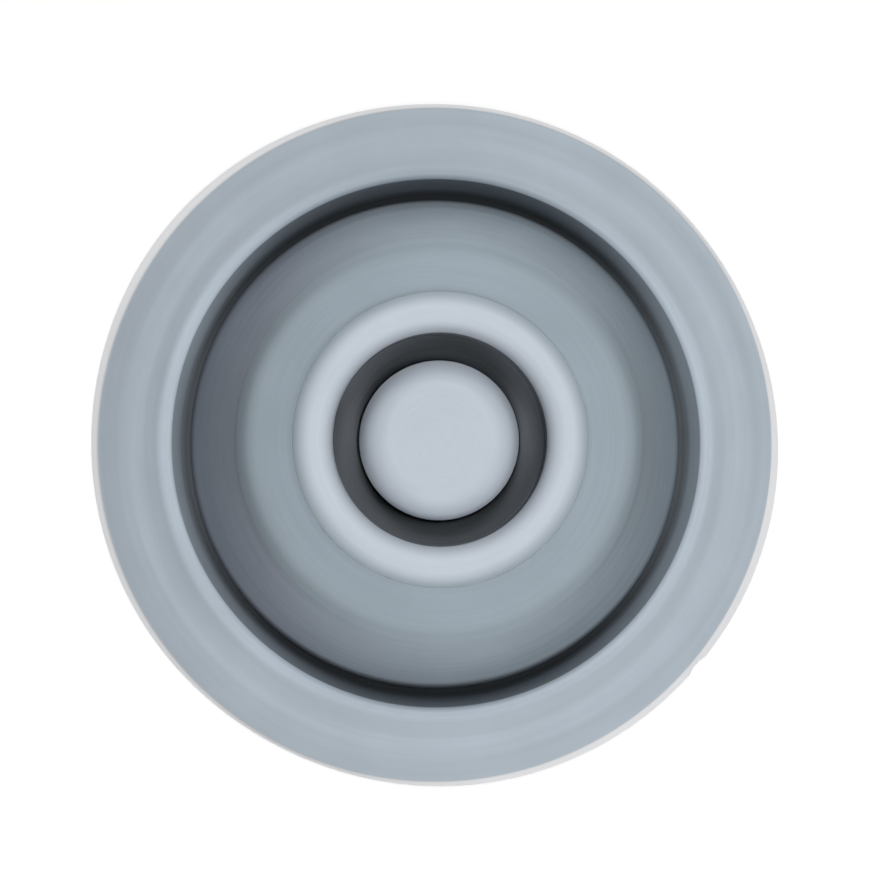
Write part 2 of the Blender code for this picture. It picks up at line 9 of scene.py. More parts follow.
import bpy
import numpy as np
from mathutils import Matrix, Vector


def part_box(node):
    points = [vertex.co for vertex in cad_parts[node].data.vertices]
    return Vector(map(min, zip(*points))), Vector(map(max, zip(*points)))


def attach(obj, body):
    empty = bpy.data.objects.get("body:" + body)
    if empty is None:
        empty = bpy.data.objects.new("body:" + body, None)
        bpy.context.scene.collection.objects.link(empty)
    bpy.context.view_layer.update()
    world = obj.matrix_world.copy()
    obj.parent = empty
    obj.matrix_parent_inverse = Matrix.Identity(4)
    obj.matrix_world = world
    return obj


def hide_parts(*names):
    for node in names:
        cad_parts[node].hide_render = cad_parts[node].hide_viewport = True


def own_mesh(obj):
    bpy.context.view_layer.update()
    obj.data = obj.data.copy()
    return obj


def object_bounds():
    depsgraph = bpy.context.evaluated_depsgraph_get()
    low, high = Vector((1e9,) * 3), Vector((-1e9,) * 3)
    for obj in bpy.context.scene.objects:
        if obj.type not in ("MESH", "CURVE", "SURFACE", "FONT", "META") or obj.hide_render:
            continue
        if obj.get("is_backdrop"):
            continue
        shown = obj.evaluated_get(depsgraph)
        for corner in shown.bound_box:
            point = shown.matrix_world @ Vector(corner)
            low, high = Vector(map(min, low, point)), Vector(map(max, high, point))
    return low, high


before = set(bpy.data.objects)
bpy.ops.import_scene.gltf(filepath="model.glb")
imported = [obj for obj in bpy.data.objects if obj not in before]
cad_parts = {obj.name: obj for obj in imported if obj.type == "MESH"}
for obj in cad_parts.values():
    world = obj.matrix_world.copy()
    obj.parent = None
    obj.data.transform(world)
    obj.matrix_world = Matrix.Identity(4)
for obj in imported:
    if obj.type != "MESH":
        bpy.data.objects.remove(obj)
cad_low, cad_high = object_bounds()
MM = 0.001
print("frame:", len(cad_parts), "nodes,", [round(x / MM, 1) for x in cad_high - cad_low], "mm")

# %% [markdown]
# Nearly every piece is round about the Z axis, so four numbers place it: its least and greatest
# radius, and its lowest and highest point. They could be typed in again, but then a change to the
# solids would leave the looks behind. Reading them from the frame keeps the two together.

# %% Measure the turned solids
Ring = namedtuple("Ring", "inner outer low high")


def measure(node):
    """Least and greatest distance of a node's points from the Z axis, and their heights."""
    points = np.empty(len(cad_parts[node].data.vertices) * 3)
    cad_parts[node].data.vertices.foreach_get("co", points)
    x, y, z = points.reshape(-1, 3).T
    radius = np.hypot(x, y)
    return Ring(radius.min(), radius.max(), z.min(), z.max())


ring = {node: measure(node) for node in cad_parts}
skirt, drum, cover = ring["sealing_skirt"], ring["bell_shell"], ring["top_plate"]
bezel, guide, nut, base = ring["button_bezel"], ring["button_guide"], ring["bezel_nut"], ring["base_plate"]
ballast, seat, spring = ring["ballast_ring"], ring["spring_seat"], ring["return_spring"]
button, stem, clip = ring["push_button"], ring["vent_stem"], ring["stem_clip"]
seal, washer = ring["vent_seal"], ring["seal_washer"]
for node, sizes in ring.items():
    print(node, [round(float(size) / MM, 2) for size in sizes])

# %% [markdown]
# A turned piece is an outline carried round the axis. The outline is a list of points, each with
# a radius, a height and an ease: how far before and after the point its corner starts to bend.
# A real moulding has no knife edges, so every corner is eased a little, and light catches it.
# Bevel modifiers could do that later, but they can't follow a profile as closely as this does.
# Soft forms are given by their slope instead: knots say how steep the surface is at each distance,
# and adding the slopes up gives the heights. Slope is what shading shows, so it is what was measured.

# %% Outlines
EASE_STEPS = 6
FINE_EASE = 0.12 * MM
HAIR_EASE = 0.04 * MM
SAME_POINT = 1e-7
NO_LENGTH = 1e-9


def free(r, z):
    """Outline points that need no ease, because they follow a curve already."""
    r, z = np.broadcast_arrays(r, z)
    return np.column_stack([r, z, np.zeros(len(r))])


def curve(start, pull_start, pull_end, end, count):
    """A cubic curve as outline points: start(1-t)^3 + 3 pull_start t(1-t)^2 + 3 pull_end t^2(1-t)
    + end t^3."""
    t = np.linspace(0.0, 1.0, count)[:, None]
    weights = ((1 - t) ** 3, 3 * t * (1 - t) ** 2, 3 * t ** 2 * (1 - t), t ** 3)
    points = sum(w * np.array(p) for w, p in zip(weights, (start, pull_start, pull_end, end)))
    return free(*points.T)


def slope_run(start, way, knots, drop, count):
    """Outline points that fall from a start point as steeply as the knots say. A knot is (distance in mm,
    slope). The height lost at a distance is the slope's integral up to it, and the whole is scaled so that
    the last point lies the given drop below the first. way is 1 outwards and -1 inwards."""
    distance, slope = np.array(knots).T
    u = np.linspace(0.0, distance[-1] * MM, count)
    steep = np.interp(u, distance * MM, slope)
    fall = np.concatenate([[0.0], np.cumsum((steep[1:] + steep[:-1]) / 2 * np.diff(u))])
    return free(start[0] + way * u, start[1] - fall * drop / fall[-1])


def reaching(knots, length):
    """The same knots with the last one moved, so that they end at a length."""
    return knots[:-1] + [(length / MM, knots[-1][1])]


def corners(*points, ease=FINE_EASE):
    """Corner points of an outline, each with the same ease."""
    return np.column_stack([np.array(points, dtype=float), np.full(len(points), ease)])


def eased(*stretches, closed=True):
    """One outline from curves and corners. A corner at P with ease e becomes the quadratic curve
    A(1-t)^2 + 2 P t(1-t) + C t^2, where A and C lie e before and after it on its two sides.
    A further point stands a quarter of e outside A and C, so that flat sides shade as flat."""
    rows = np.concatenate(stretches)
    at, ease = rows[:, :2], rows[:, 2:].copy()
    if not closed:
        ease[[0, -1]] = 0.0
    back = np.roll(at, 1, axis=0) - at
    ahead = np.roll(at, -1, axis=0) - at
    back /= np.maximum(np.linalg.norm(back, axis=1, keepdims=True), NO_LENGTH)
    ahead /= np.maximum(np.linalg.norm(ahead, axis=1, keepdims=True), NO_LENGTH)
    t = np.linspace(0.0, 1.0, EASE_STEPS)[:, None, None]
    start, end = at + ease * back, at + ease * ahead
    bend = start * (1 - t) ** 2 + 2 * at * t * (1 - t) + end * t ** 2
    fence = (start + ease * back / 4)[None], bend, (end + ease * ahead / 4)[None]
    points = np.concatenate(fence).transpose(1, 0, 2).reshape(-1, 2)
    step = np.linalg.norm(points - np.roll(points, 1, axis=0), axis=1)
    keep = step > SAME_POINT
    keep[0] |= not closed
    return points[keep]


bar = eased(corners((0, 4), (10, 4), (10, 0), (0, 0), ease=0.5))
print("outline of a 10 x 4 mm bar:", len(bar), "points")

# %% [markdown]
# The outline then sweeps round. Point (i, j) of the grid is outline point i turned by angle j, so
# its place is (r cos a, r sin a, z). The quads join each point to its neighbours, and the last
# column joins the first, so no seam is left open. An outline that starts and ends on the axis is
# closed by a fan of triangles at each pole.

# %% Turned surfaces
FINE_TURN = 256
SMALL_TURN = 96


def grid_quads(rows, columns, ring):
    """Corner numbers of a grid's quads. Columns always close on themselves, rows only in a ring."""
    i, j = np.meshgrid(np.arange(rows if ring else rows - 1), np.arange(columns), indexing="ij")
    below, beside = (i + 1) % rows, (j + 1) % columns
    quads = [i * columns + j, below * columns + j, below * columns + beside, i * columns + beside]
    return np.stack(quads, axis=-1).reshape(-1, 4)


def add_piece(name, points, faces):
    """A smooth-shaded mesh object at the origin, with its place in its points."""
    mesh = bpy.data.meshes.new(name)
    mesh.from_pydata(points.tolist(), [], faces)
    mesh.shade_smooth()
    mesh.update()
    piece = bpy.data.objects.new(name, mesh)
    bpy.context.scene.collection.objects.link(piece)
    return piece


def turned_points(outline, turns, reshape=None, place=(0.0, 0.0)):
    """Points (r cos a, r sin a, z) of an outline carried round an upright axis. reshape(r, z, a), if
    given, returns changed radii and heights for the whole grid."""
    angle = np.linspace(0.0, 2 * np.pi, turns, endpoint=False)[None, :]
    r, z = (np.repeat(column[:, None], turns, axis=1) for column in outline.T)
    if reshape:
        r, z = reshape(r, z, angle + np.zeros_like(r))
    points = np.stack([r * np.cos(angle) + place[0], r * np.sin(angle) + place[1], z], axis=-1)
    return points.reshape(-1, 3)


def turned_ring(name, outline, turns=FINE_TURN, reshape=None):
    """A ring: a closed outline that stays clear of the axis."""
    points = turned_points(outline, turns, reshape)
    return add_piece(name, points, grid_quads(len(outline), turns, ring=True).tolist())


def turned_solid(name, outline, turns=FINE_TURN, reshape=None, place=(0.0, 0.0)):
    """A solid: an outline from the top of the axis to its bottom, with a fan of triangles at each pole."""
    body = turned_points(outline[1:-1], turns, reshape, place)
    poles = np.array([(*place, outline[0, 1]), (*place, outline[-1, 1])])
    quads = grid_quads(len(outline) - 2, turns, ring=False)
    j = np.arange(turns)
    beside, last = (j + 1) % turns, len(body) - turns
    top = np.stack([np.full(turns, len(body)), j, beside], axis=-1)
    bottom = np.stack([np.full(turns, len(body) + 1), last + beside, last + j], axis=-1)
    faces = quads.tolist() + top.tolist() + bottom.tolist()
    return add_piece(name, np.concatenate([body, poles]), faces)


print("a ring of 40 outline points has", len(grid_quads(40, FINE_TURN, True)), "quads")

# %% [markdown]
# The skirt is the soft silicone flange: a clamped inner lip, a deep groove that lets it flex, a
# rounded bead, a slope with a faint waist, and a thin feather lip that lies on the bath. It could
# be sculpted, but its section is the same all round, so one outline gives it, with slope knots for
# the bead and the waist. Only the feather lip is uneven: it is slightly oval, it waves, and it has
# a small nick, so it is reshaped by angle.

# %% Skirt
GROOVE_WIDTH = 1.2 * MM
GROOVE_FLARE = 2.2 * MM
GROOVE_FLOOR = 1.1 * MM
CREST_ROLL = 1.4 * MM
CREST_DROP = 0.6 * MM
BEAD_KNOTS = [(0.0, 0.0), (0.35, 0.02), (0.75, 0.44), (1.1, 0.95), (1.4, 1.6)]
FLANGE_KNOTS = [(0.0, 0.0), (0.35, 0.06), (0.75, 0.30), (1.3, 0.62), (1.85, 0.75), (2.8, 0.72), (3.75, 0.61),
                (4.5, 0.49), (5.3, 0.42), (6.8, 0.47), (7.95, 0.59), (9.1, 0.69), (10.3, 0.70), (12.2, 0.65)]
LIP_WIDTH = 1.13 * MM
LIP_SHIFT = 0.10 * MM
FLANGE_EDGE = 0.95 * MM
LIP_THICKNESS = 0.28 * MM
VALLEY_EASE = 0.9 * MM
LIP_OVAL = 0.38 * MM
LIP_OVAL_ANGLE = math.radians(152)
LIP_WAVE = 0.10 * MM
LIP_WAVES = 5
LIP_WAVE_ANGLE = 0.6
LIP_NICK = 0.45 * MM
LIP_NICK_ANGLE = math.radians(-40.2)
LIP_NICK_WIDTH = math.radians(1.25)
LIP_FACES = 0.02 * MM
LIP_ROOT = 0.05 * MM
LIP_STEP = 0.03 * MM
LIP_UNDER = 0.8 * MM
SKIRT_WALL = 2.0 * MM
UNDER_EASE = 0.6 * MM
CLAMP_WIDTH = 4.2 * MM
CLAMP_NECK = 1.7 * MM
CLAMP_LEVELS = (1.9 * MM, 3.4 * MM)

groove_r = drum.outer + GROOVE_WIDTH
groove_edge_r = groove_r + GROOVE_FLARE
crest_r = groove_edge_r + CREST_ROLL
flange_r = skirt.outer - LIP_WIDTH
clamp_r = skirt.inner + CLAMP_WIDTH
foot_inner_r = clamp_r - CLAMP_NECK


def lip_shape(r, z, angle):
    """Radius r grows by w (r - f) / width, where w is an oval, a wave and a narrow nick by angle, and
    f is the flange's edge, so the change is nothing at the flange and whole at the lip's rim. Round the
    flange's edge, r also shifts along X by a hair, with a bell curve by radius."""
    change = LIP_OVAL * np.cos(2 * (angle - LIP_OVAL_ANGLE))
    change = change + LIP_WAVE * np.cos(LIP_WAVES * angle + LIP_WAVE_ANGLE)
    turn = np.angle(np.exp(1j * (angle - LIP_NICK_ANGLE)))
    change = change - LIP_NICK * np.exp(-(turn / LIP_NICK_WIDTH) ** 4)
    shift = LIP_SHIFT * np.cos(angle) * np.exp(-((r - flange_r) / LIP_WIDTH) ** 2)
    return r + shift + change * np.clip((r - flange_r) / LIP_WIDTH, 0.0, 1.0), z


def skirt_outline():
    """Clamp lip, groove, bead, waisted flange, feather lip, then back along the underside."""
    clamp_low, clamp_high = CLAMP_LEVELS
    edge_z = skirt.high - CREST_DROP
    crest = (crest_r, skirt.high)
    inside = corners((skirt.inner, clamp_high), (clamp_r, clamp_high), (clamp_r, GROOVE_FLOOR))
    valley = corners((groove_r, GROOVE_FLOOR), ease=VALLEY_EASE)
    bead = slope_run(crest, -1, BEAD_KNOTS, CREST_DROP, 20)[:0:-1]
    knots = reaching(FLANGE_KNOTS, flange_r - crest_r)
    flange = slope_run(crest, 1, knots, skirt.high - FLANGE_EDGE, 72)
    lip = corners((flange_r + LIP_ROOT, FLANGE_EDGE - LIP_STEP), (skirt.outer, LIP_THICKNESS),
                  (skirt.outer, skirt.low), ease=HAIR_EASE)
    under = corners((flange_r - LIP_UNDER, skirt.low), (groove_edge_r + SKIRT_WALL, edge_z - SKIRT_WALL),
                    ease=UNDER_EASE)
    foot = corners((groove_r + SKIRT_WALL, skirt.low), (foot_inner_r, skirt.low),
                   (foot_inner_r, clamp_low), (skirt.inner, clamp_low))
    return eased(inside, valley, bead, flange, lip, under, foot)


skirt_points = skirt_outline()
skirt_piece = turned_ring("skirt", skirt_points, reshape=lip_shape)
print("skirt:", len(skirt_points), "outline points,", len(skirt_piece.data.polygons), "faces")

# %% [markdown]
# The drum is a steep moulded cup, open below, with a flat deck that the cover sits on. Inside it
# has six bosses for the screws. Its wall could be a plain cone, but the moulding barrels out a
# hair, so the outer radius is a straight line plus a low parabola.

# %% Drum
DRUM_BARREL = 0.3 * MM
DRUM_WALL = 2.0 * MM
CURTAIN_WALL = 1.7 * MM
FOOT_LEVELS = (3.7 * MM, 5.3 * MM)


def drum_side(inset, low, high, count):
    """Points down the drum's side: radius = foot - run s + 4 barrel s(1 - s) - inset, with s from 0 at
    the foot to 1 at the deck."""
    z = np.linspace(high, low, count)
    s = (z - drum.low) / (drum.high - drum.low)
    r = drum.outer - (drum.outer - cover.outer) * s + 4 * DRUM_BARREL * s * (1 - s) - inset
    return free(r, z)


def drum_outline():
    """Deck, outer side, thin curtain, foot over the skirt's clamp lip, inner side, deck's underside."""
    foot_low, foot_high = FOOT_LEVELS
    deck_low = drum.high - DRUM_WALL
    deck = corners((drum.inner, drum.high), (cover.outer, drum.high), ease=HAIR_EASE)
    outer = drum_side(0.0, drum.low + FINE_EASE, drum.high - 2 * HAIR_EASE, 24)
    curtain_r = drum.outer - CURTAIN_WALL
    foot = corners((drum.outer, drum.low), (curtain_r, drum.low), (curtain_r, foot_low),
                   (skirt.inner, foot_low), (skirt.inner, foot_high))
    inner = drum_side(DRUM_WALL, foot_high, deck_low, 12)[::-1]
    return eased(deck, outer, foot, inner, corners((drum.inner, deck_low)))


drum_piece = turned_ring("drum", drum_outline())
print("drum:", len(drum_piece.data.polygons), "faces")

# %% [markdown]
# Bosses and holes don't repeat all round, so a turned outline can't hold them. They could be left
# to a bump map, but then the mesh would be wrong inside. Small turned posts join or cut the piece
# with a Boolean, and the result is kept as a plain mesh with its sharp edges marked.

# %% Joining and cutting
SHARP_ANGLE = math.radians(40)
SCREW_COUNT = 6
POST_TURN = 48
screw_boxes = [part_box(f"base_screw_{n}") for n in range(1, SCREW_COUNT + 1)]
SCREW_PLACES = [tuple(((low + high) / 2).xy) for low, high in screw_boxes]


def post(name, place, radius, low, high, flare=0.0):
    """An upright round post. With a flare its ends widen, which leaves a countersunk edge in a hole."""
    top = corners((0.0, high), (radius + flare, high), (radius, high - flare), ease=0.0)
    bottom = corners((radius, low + flare), (radius + flare, low), (0.0, low), ease=0.0)
    return turned_solid(name, eased(top, bottom, closed=False), POST_TURN, place=place)


def posts(name, places, *sizes):
    """One post of the same sizes at each place."""
    return [post(f"{name}_{n}", tuple(place), *sizes) for n, place in enumerate(places)]


def combine(piece, tools, operation):
    """Join or cut a piece with tools, keep the result as its mesh and remove the tools."""
    for tool in tools:
        change = piece.modifiers.new(tool.name, "BOOLEAN")
        change.operation = operation
        change.object = tool
    whole = piece.evaluated_get(bpy.context.evaluated_depsgraph_get())
    mesh = bpy.data.meshes.new_from_object(whole)
    piece.modifiers.clear()
    piece.data = mesh
    for tool in tools:
        bpy.data.objects.remove(tool, do_unlink=True)
    mesh.shade_smooth()
    mesh.set_sharp_from_angle(angle=SHARP_ANGLE)


print("screws stand at", [tuple(round(c / MM, 1) for c in place) for place in SCREW_PLACES], "mm")

# %% Drum bosses
BOSS_RADIUS = 2.4 * MM
BOSS_LOW = 4.1 * MM
BOSS_HIGH = 18.6 * MM
PILOT_RADIUS = 1.5 * MM
PILOT_DEPTH = 8.0 * MM
PILOT_PAST = 1.0 * MM

combine(drum_piece, posts("boss", SCREW_PLACES, BOSS_RADIUS, BOSS_LOW, BOSS_HIGH), "UNION")
pilot_sizes = PILOT_RADIUS, BOSS_LOW - PILOT_PAST, BOSS_LOW + PILOT_DEPTH
combine(drum_piece, posts("pilot", SCREW_PLACES, *pilot_sizes), "DIFFERENCE")
print("drum with bosses:", len(drum_piece.data.polygons), "faces")

# %% [markdown]
# The cover is a shallow ring on the drum's deck: a gentle slope, and an edge that rolls over into
# the drum's side. The guide and the bezel sit in a seat round its hole, with a small fillet up to the
# bezel. An arc would start with a crease, so slope knots let the roll leave the top gently instead.

# %% Cover
SEAM = 0.03 * MM
COVER_SIDE = 0.15 * MM
COVER_FLARE = 0.30 * MM
COVER_KNOTS = [(0.0, 0.62), (0.3, 0.42), (0.8, 0.20), (1.4, 0.09), (6.2, 0.09), (7.6, 0.45), (8.3, 0.78),
               (9.0, 1.30), (9.6, 1.67), (10.2, 2.05)]
COVER_WALL = 1.8 * MM
COVER_RECESS = 1.2 * MM
GUIDE_FLANGE = 1.1 * MM
SEAT_GAP = 0.3 * MM
SEAT_EASE = 0.1 * MM


def cover_outline():
    """Seat, slope, rolled edge, short side, and a relieved underside that rests on the deck."""
    low = drum.high + SEAM
    seat_r, seat_z = bezel.outer + SEAT_GAP, guide.high - GUIDE_FLANGE - SEAM
    side_z = cover.low + COVER_SIDE
    start = (seat_r, cover.high + COVER_FLARE)
    seat_rows = corners((cover.inner, seat_z), (seat_r, seat_z), ease=SEAT_EASE)
    top = slope_run(start, 1, reaching(COVER_KNOTS, cover.outer - seat_r), start[1] - side_z, 64)
    rest = corners((cover.outer, low), ease=HAIR_EASE)
    recess_z, recess_in, recess_out = cover.low + COVER_RECESS, seat_r + COVER_WALL, cover.outer - COVER_WALL
    under = corners((recess_out, low), (recess_out, recess_z), (recess_in, recess_z), (recess_in, low),
                    (cover.inner, low))
    return eased(seat_rows, top, rest, under)


cover_piece = turned_ring("cover", cover_outline())
print("cover:", len(cover_piece.data.polygons), "faces")

# %% [markdown]
# The bezel is a half-round trim ring. A torus would be the quick way, but the real one is flat below,
# rolls over to upright on the inside and meets the cover at a slant. Two runs of slope knots, one each
# side of the crest, give the two rolls.

# %% Bezel
BEZEL_CREST = 23.0 * MM
BEZEL_LAND = 0.3 * MM
BEZEL_SEAM = 0.01 * MM
BEZEL_INNER_KNOTS = [(0.0, 0.0), (0.6, 0.12), (1.15, 0.38), (1.7, 0.555), (2.2, 0.73), (2.77, 1.035),
                     (3.13, 1.45), (3.4, 2.6), (3.6, 6.0)]
BEZEL_OUTER_KNOTS = [(0.0, 0.0), (0.5, 0.12), (1.0, 0.30), (1.54, 0.46), (2.1, 0.67), (2.64, 0.91),
                     (3.18, 1.36), (3.8, 2.0)]


def bezel_outline():
    """Upright inner edge, inner roll, crest, outer roll and the flat underside."""
    crest = (BEZEL_CREST, bezel.high)
    rim_r, rim_z = bezel.outer + SEAT_GAP - BEZEL_SEAM, cover.high + COVER_FLARE
    inner_knots = reaching(BEZEL_INNER_KNOTS, BEZEL_CREST - bezel.inner)
    outer_knots = reaching(BEZEL_OUTER_KNOTS, rim_r - BEZEL_CREST)
    inner = slope_run(crest, -1, inner_knots, bezel.high - bezel.low - BEZEL_LAND, 48)[:0:-1]
    outer = slope_run(crest, 1, outer_knots, bezel.high - rim_z, 40)
    under = corners((rim_r, bezel.low), (bezel.inner, bezel.low), ease=HAIR_EASE)
    return eased(inner, outer, under)


bezel_piece = turned_ring("bezel", bezel_outline())
print("bezel:", len(bezel_piece.data.polygons), "faces")

# %% [markdown]
# Below the bezel stands the guide, the dark cup that the button runs in. Its flange is clamped on the
# cover, and its neck goes down through the deck to a ring nut, so it carries a screw thread. The thread
# is part of the turned grid: the neck's radius rises and falls with height, and climbs one pitch a turn.

# %% Button guide
WELL_DRAFT = 0.08 * MM
WELL_FLOOR = 1.5 * MM
THROAT_EASE = 0.9 * MM
THROAT_GAP = 0.30 * MM
THROAT_DROP = 0.5 * MM
WELL_EASE = 0.3 * MM
NECK_WALL = 1.4 * MM
THREAD_PITCH = 1.5 * MM
THREAD_DEPTH = 0.22 * MM
THREAD_MARGIN = 0.4 * MM
THREAD_START = 0.5 * MM
well_r = bezel.inner
neck_r = well_r + NECK_WALL


def thread_on(radius, pitch, depth, low, high):
    """A reshape that moves points at one radius out by depth (1 + cos(2 pi z / pitch - turn)) / 2, a ridge
    that climbs one pitch a turn."""
    def reshape(r, z, angle):
        wave = (1 + np.cos(2 * np.pi * z / pitch - angle)) / 2
        held = (np.abs(r - radius) < SAME_POINT) & (z > low) & (z < high)
        return r + np.where(held, depth * wave, 0.0), z
    return reshape


def guide_outline():
    """Well wall, flange under the bezel, threaded neck, and a floor that dips to the throat."""
    flange_z = guide.high - GUIDE_FLANGE
    floor_z = guide.low + WELL_FLOOR
    wall = corners((well_r - WELL_DRAFT, floor_z), ease=WELL_EASE)
    flange = corners((well_r, bezel.low - SEAM), (guide.outer, bezel.low - SEAM), (guide.outer, flange_z),
                     (neck_r, flange_z), ease=HAIR_EASE)
    neck = free(neck_r, np.linspace(flange_z - THREAD_MARGIN, guide.low + THREAD_MARGIN, 80))
    throat_r = min(guide.inner, button.outer + THROAT_GAP)
    floor = corners((neck_r, guide.low), (throat_r, guide.low), (throat_r, floor_z - THROAT_DROP))
    throat = corners((guide.inner, floor_z), ease=THROAT_EASE)
    return eased(wall, flange, neck, floor, throat)


guide_thread = thread_on(neck_r, THREAD_PITCH, THREAD_DEPTH, guide.low + THREAD_START, nut.high)
guide_piece = turned_ring("guide", guide_outline(), reshape=guide_thread)
print("guide:", len(guide_piece.data.polygons), "faces")

# %% [markdown]
# The ring nut under the deck has six round notches for a pin spanner. Cutting them would leave
# ragged edges, so the outer radius is worked out by angle instead: it is the nut's own radius, or
# the near side of the notch's circle where that is less.

# %% Ring nut
NUT_NOTCHES = 6
NUT_NOTCH_RADIUS = 1.2 * MM
NUT_EASE = 0.2 * MM
NUT_RIM = 1.5 * NUT_EASE
NUT_TURN = 360


def notched(r, z, angle):
    """Outer points move in to R cos d - sqrt(n^2 - (R sin d)^2), the notch's near side, where d is the
    angle to the nearest notch, n the notch's radius and R the nut's. Elsewhere they stay."""
    pitch = 2 * np.pi / NUT_NOTCHES
    off = np.mod(angle, pitch) - pitch / 2
    across = nut.outer * np.sin(off)
    inside = np.sqrt(np.maximum(NUT_NOTCH_RADIUS ** 2 - across ** 2, 0.0))
    near = np.where(inside > 0, nut.outer * np.cos(off) - inside, nut.outer)
    return np.minimum(r, near - (nut.outer - r) * (r > nut.outer - NUT_RIM)), z


nut_rows = corners((nut.inner, nut.high), (nut.outer, nut.high), (nut.outer, nut.low), (nut.inner, nut.low),
                   ease=NUT_EASE)
nut_piece = turned_ring("ring_nut", eased(nut_rows), NUT_TURN, reshape=notched)
print("ring nut:", len(nut_piece.data.polygons), "faces")

# %% [markdown]
# The base plate closes the drum from below. It is a stepped dish: a flange that clamps the skirt, a
# land for the screws, a cavity over the drain and a disc with six vent holes. The steps are turned,
# and flared posts cut the holes, so each has the small countersink that a moulding tool leaves.

# %% Base plate
BASE_WALL = 1.2 * MM
STEP_RADIUS = 38.8 * MM
LAND_LEVEL = 2.6 * MM
DISH_RADIUS = 31.7 * MM
DISC_RADIUS = 29.7 * MM
CAVITY_HEIGHT = 11.0 * MM
HUB_RADIUS = 4.2 * MM
BALLAST_RIM = 1.2 * MM
VENT_CIRCLE = 9.4 * MM
VENT_RADIUS = 1.7 * MM
VENT_COUNT = 6
HOLE_FLARE = 0.25 * MM
DISH_EASE = 0.4 * MM
FLANGE_EASE = 0.2 * MM


def base_outline():
    """Hub, disc, ballast rim, dish wall, screw land, step and clamp flange, then the underside."""
    disc_z = CAVITY_HEIGHT + BASE_WALL
    rim_r = ballast.outer + SEAT_GAP
    flange_z = base.low + BASE_WALL
    hub = corners((base.inner, base.high), (HUB_RADIUS, base.high), (HUB_RADIUS, disc_z))
    rim = corners((rim_r, disc_z), (rim_r, disc_z + BALLAST_RIM), (DISC_RADIUS, disc_z + BALLAST_RIM))
    dish = corners((DISC_RADIUS, disc_z), (DISH_RADIUS, LAND_LEVEL + BASE_WALL), ease=DISH_EASE)
    step = corners((STEP_RADIUS, LAND_LEVEL + BASE_WALL), (STEP_RADIUS, flange_z), (base.outer, flange_z))
    flange = corners((base.outer, base.low), (STEP_RADIUS - BASE_WALL, base.low),
                     (STEP_RADIUS - BASE_WALL, LAND_LEVEL), ease=FLANGE_EASE)
    under = corners((DISH_RADIUS - BASE_WALL, LAND_LEVEL), (DISC_RADIUS - BASE_WALL, CAVITY_HEIGHT),
                    ease=UNDER_EASE)
    return eased(hub, rim, dish, step, flange, under, corners((base.inner, CAVITY_HEIGHT)))


def through(level):
    """The lowest and highest point of a post that cuts the base plate's wall at a level, and its flare."""
    return level - HOLE_FLARE / 2, level + BASE_WALL + HOLE_FLARE / 2, HOLE_FLARE


base_piece = turned_ring("base", base_outline())
vent_turns = np.radians(360.0 / VENT_COUNT * (np.arange(VENT_COUNT) + 0.5))
vent_places = np.column_stack([np.cos(vent_turns), np.sin(vent_turns)]) * VENT_CIRCLE
hole_tools = posts("vent", vent_places, VENT_RADIUS, *through(CAVITY_HEIGHT))
hole_tools += posts("screw_hole", SCREW_PLACES, PILOT_RADIUS, *through(LAND_LEVEL))
combine(base_piece, hole_tools, "DIFFERENCE")
print("base plate:", len(base_piece.data.polygons), "faces, with", len(hole_tools), "holes")

# %% [markdown]
# The ballast ring, the spring's seat and the washer behind the seal are plain flat rings, stamped
# or turned from steel. A stamped ring is eased on one face and sharper on the other, so the two
# faces get different eases.

# %% Flat rings
def flat_ring(name, sizes, top_ease, bottom_ease):
    """A ring of square section, with one ease round its top and another round its underside."""
    top = corners((sizes.inner, sizes.high), (sizes.outer, sizes.high), ease=top_ease)
    bottom = corners((sizes.outer, sizes.low), (sizes.inner, sizes.low), ease=bottom_ease)
    return turned_ring(name, eased(top, bottom))


ballast_piece = flat_ring("ballast", ballast, top_ease=0.4 * MM, bottom_ease=0.2 * MM)
seat_piece = flat_ring("spring_washer", seat, top_ease=0.15 * MM, bottom_ease=0.08 * MM)
washer_piece = flat_ring("seal_backing", washer, top_ease=0.08 * MM, bottom_ease=0.2 * MM)
print("flat rings:", [len(p.data.polygons) for p in (ballast_piece, seat_piece, washer_piece)], "faces")

# %% [markdown]
# The vent seal is a soft rubber disc. Its top lies against the plate and stays plain. Its lower face
# shows from below, and has fine moulded rings outside the washer. A bump map could draw them, but not in
# the mesh: the height there is the disc's own plus a small cosine ripple over part of the radius.

# %% Vent seal
BEAD_PITCH = 1.0 * MM
BEAD_HEIGHT = 0.10 * MM
BEAD_MARGINS = (0.2 * MM, 0.6 * MM)
SEAL_EASE = 0.4 * MM
SEAL_BORE_EASE = 0.2 * MM


def seal_outline():
    """Plain top, round edge, and an underside that ripples outside the steel washer, by
    height (1 - cos(2 pi r / pitch)) / 2, with r from the innermost bead."""
    inside, outside = BEAD_MARGINS
    r = np.linspace(seal.outer - outside, washer.outer + inside, 60)
    ripple = BEAD_HEIGHT * (1 - np.cos(2 * np.pi * (r - r[-1]) / BEAD_PITCH)) / 2
    rim = corners((seal.inner, seal.high), (seal.outer, seal.high), (seal.outer, seal.low), ease=SEAL_EASE)
    return eased(rim, free(r, seal.low + ripple), corners((seal.inner, seal.low), ease=SEAL_BORE_EASE))


seal_piece = turned_ring("seal_disc", seal_outline())
print("vent seal:", len(seal_piece.data.polygons), "faces")

# %% [markdown]
# The button is a cap with a flat top and a broad rolled edge. It could start as a cylinder with a
# bevel, but a bevel's arc turns too evenly. The edge here leaves the flat slowly and ends upright,
# as the shading in the photo does. Below, a socket takes the stem.

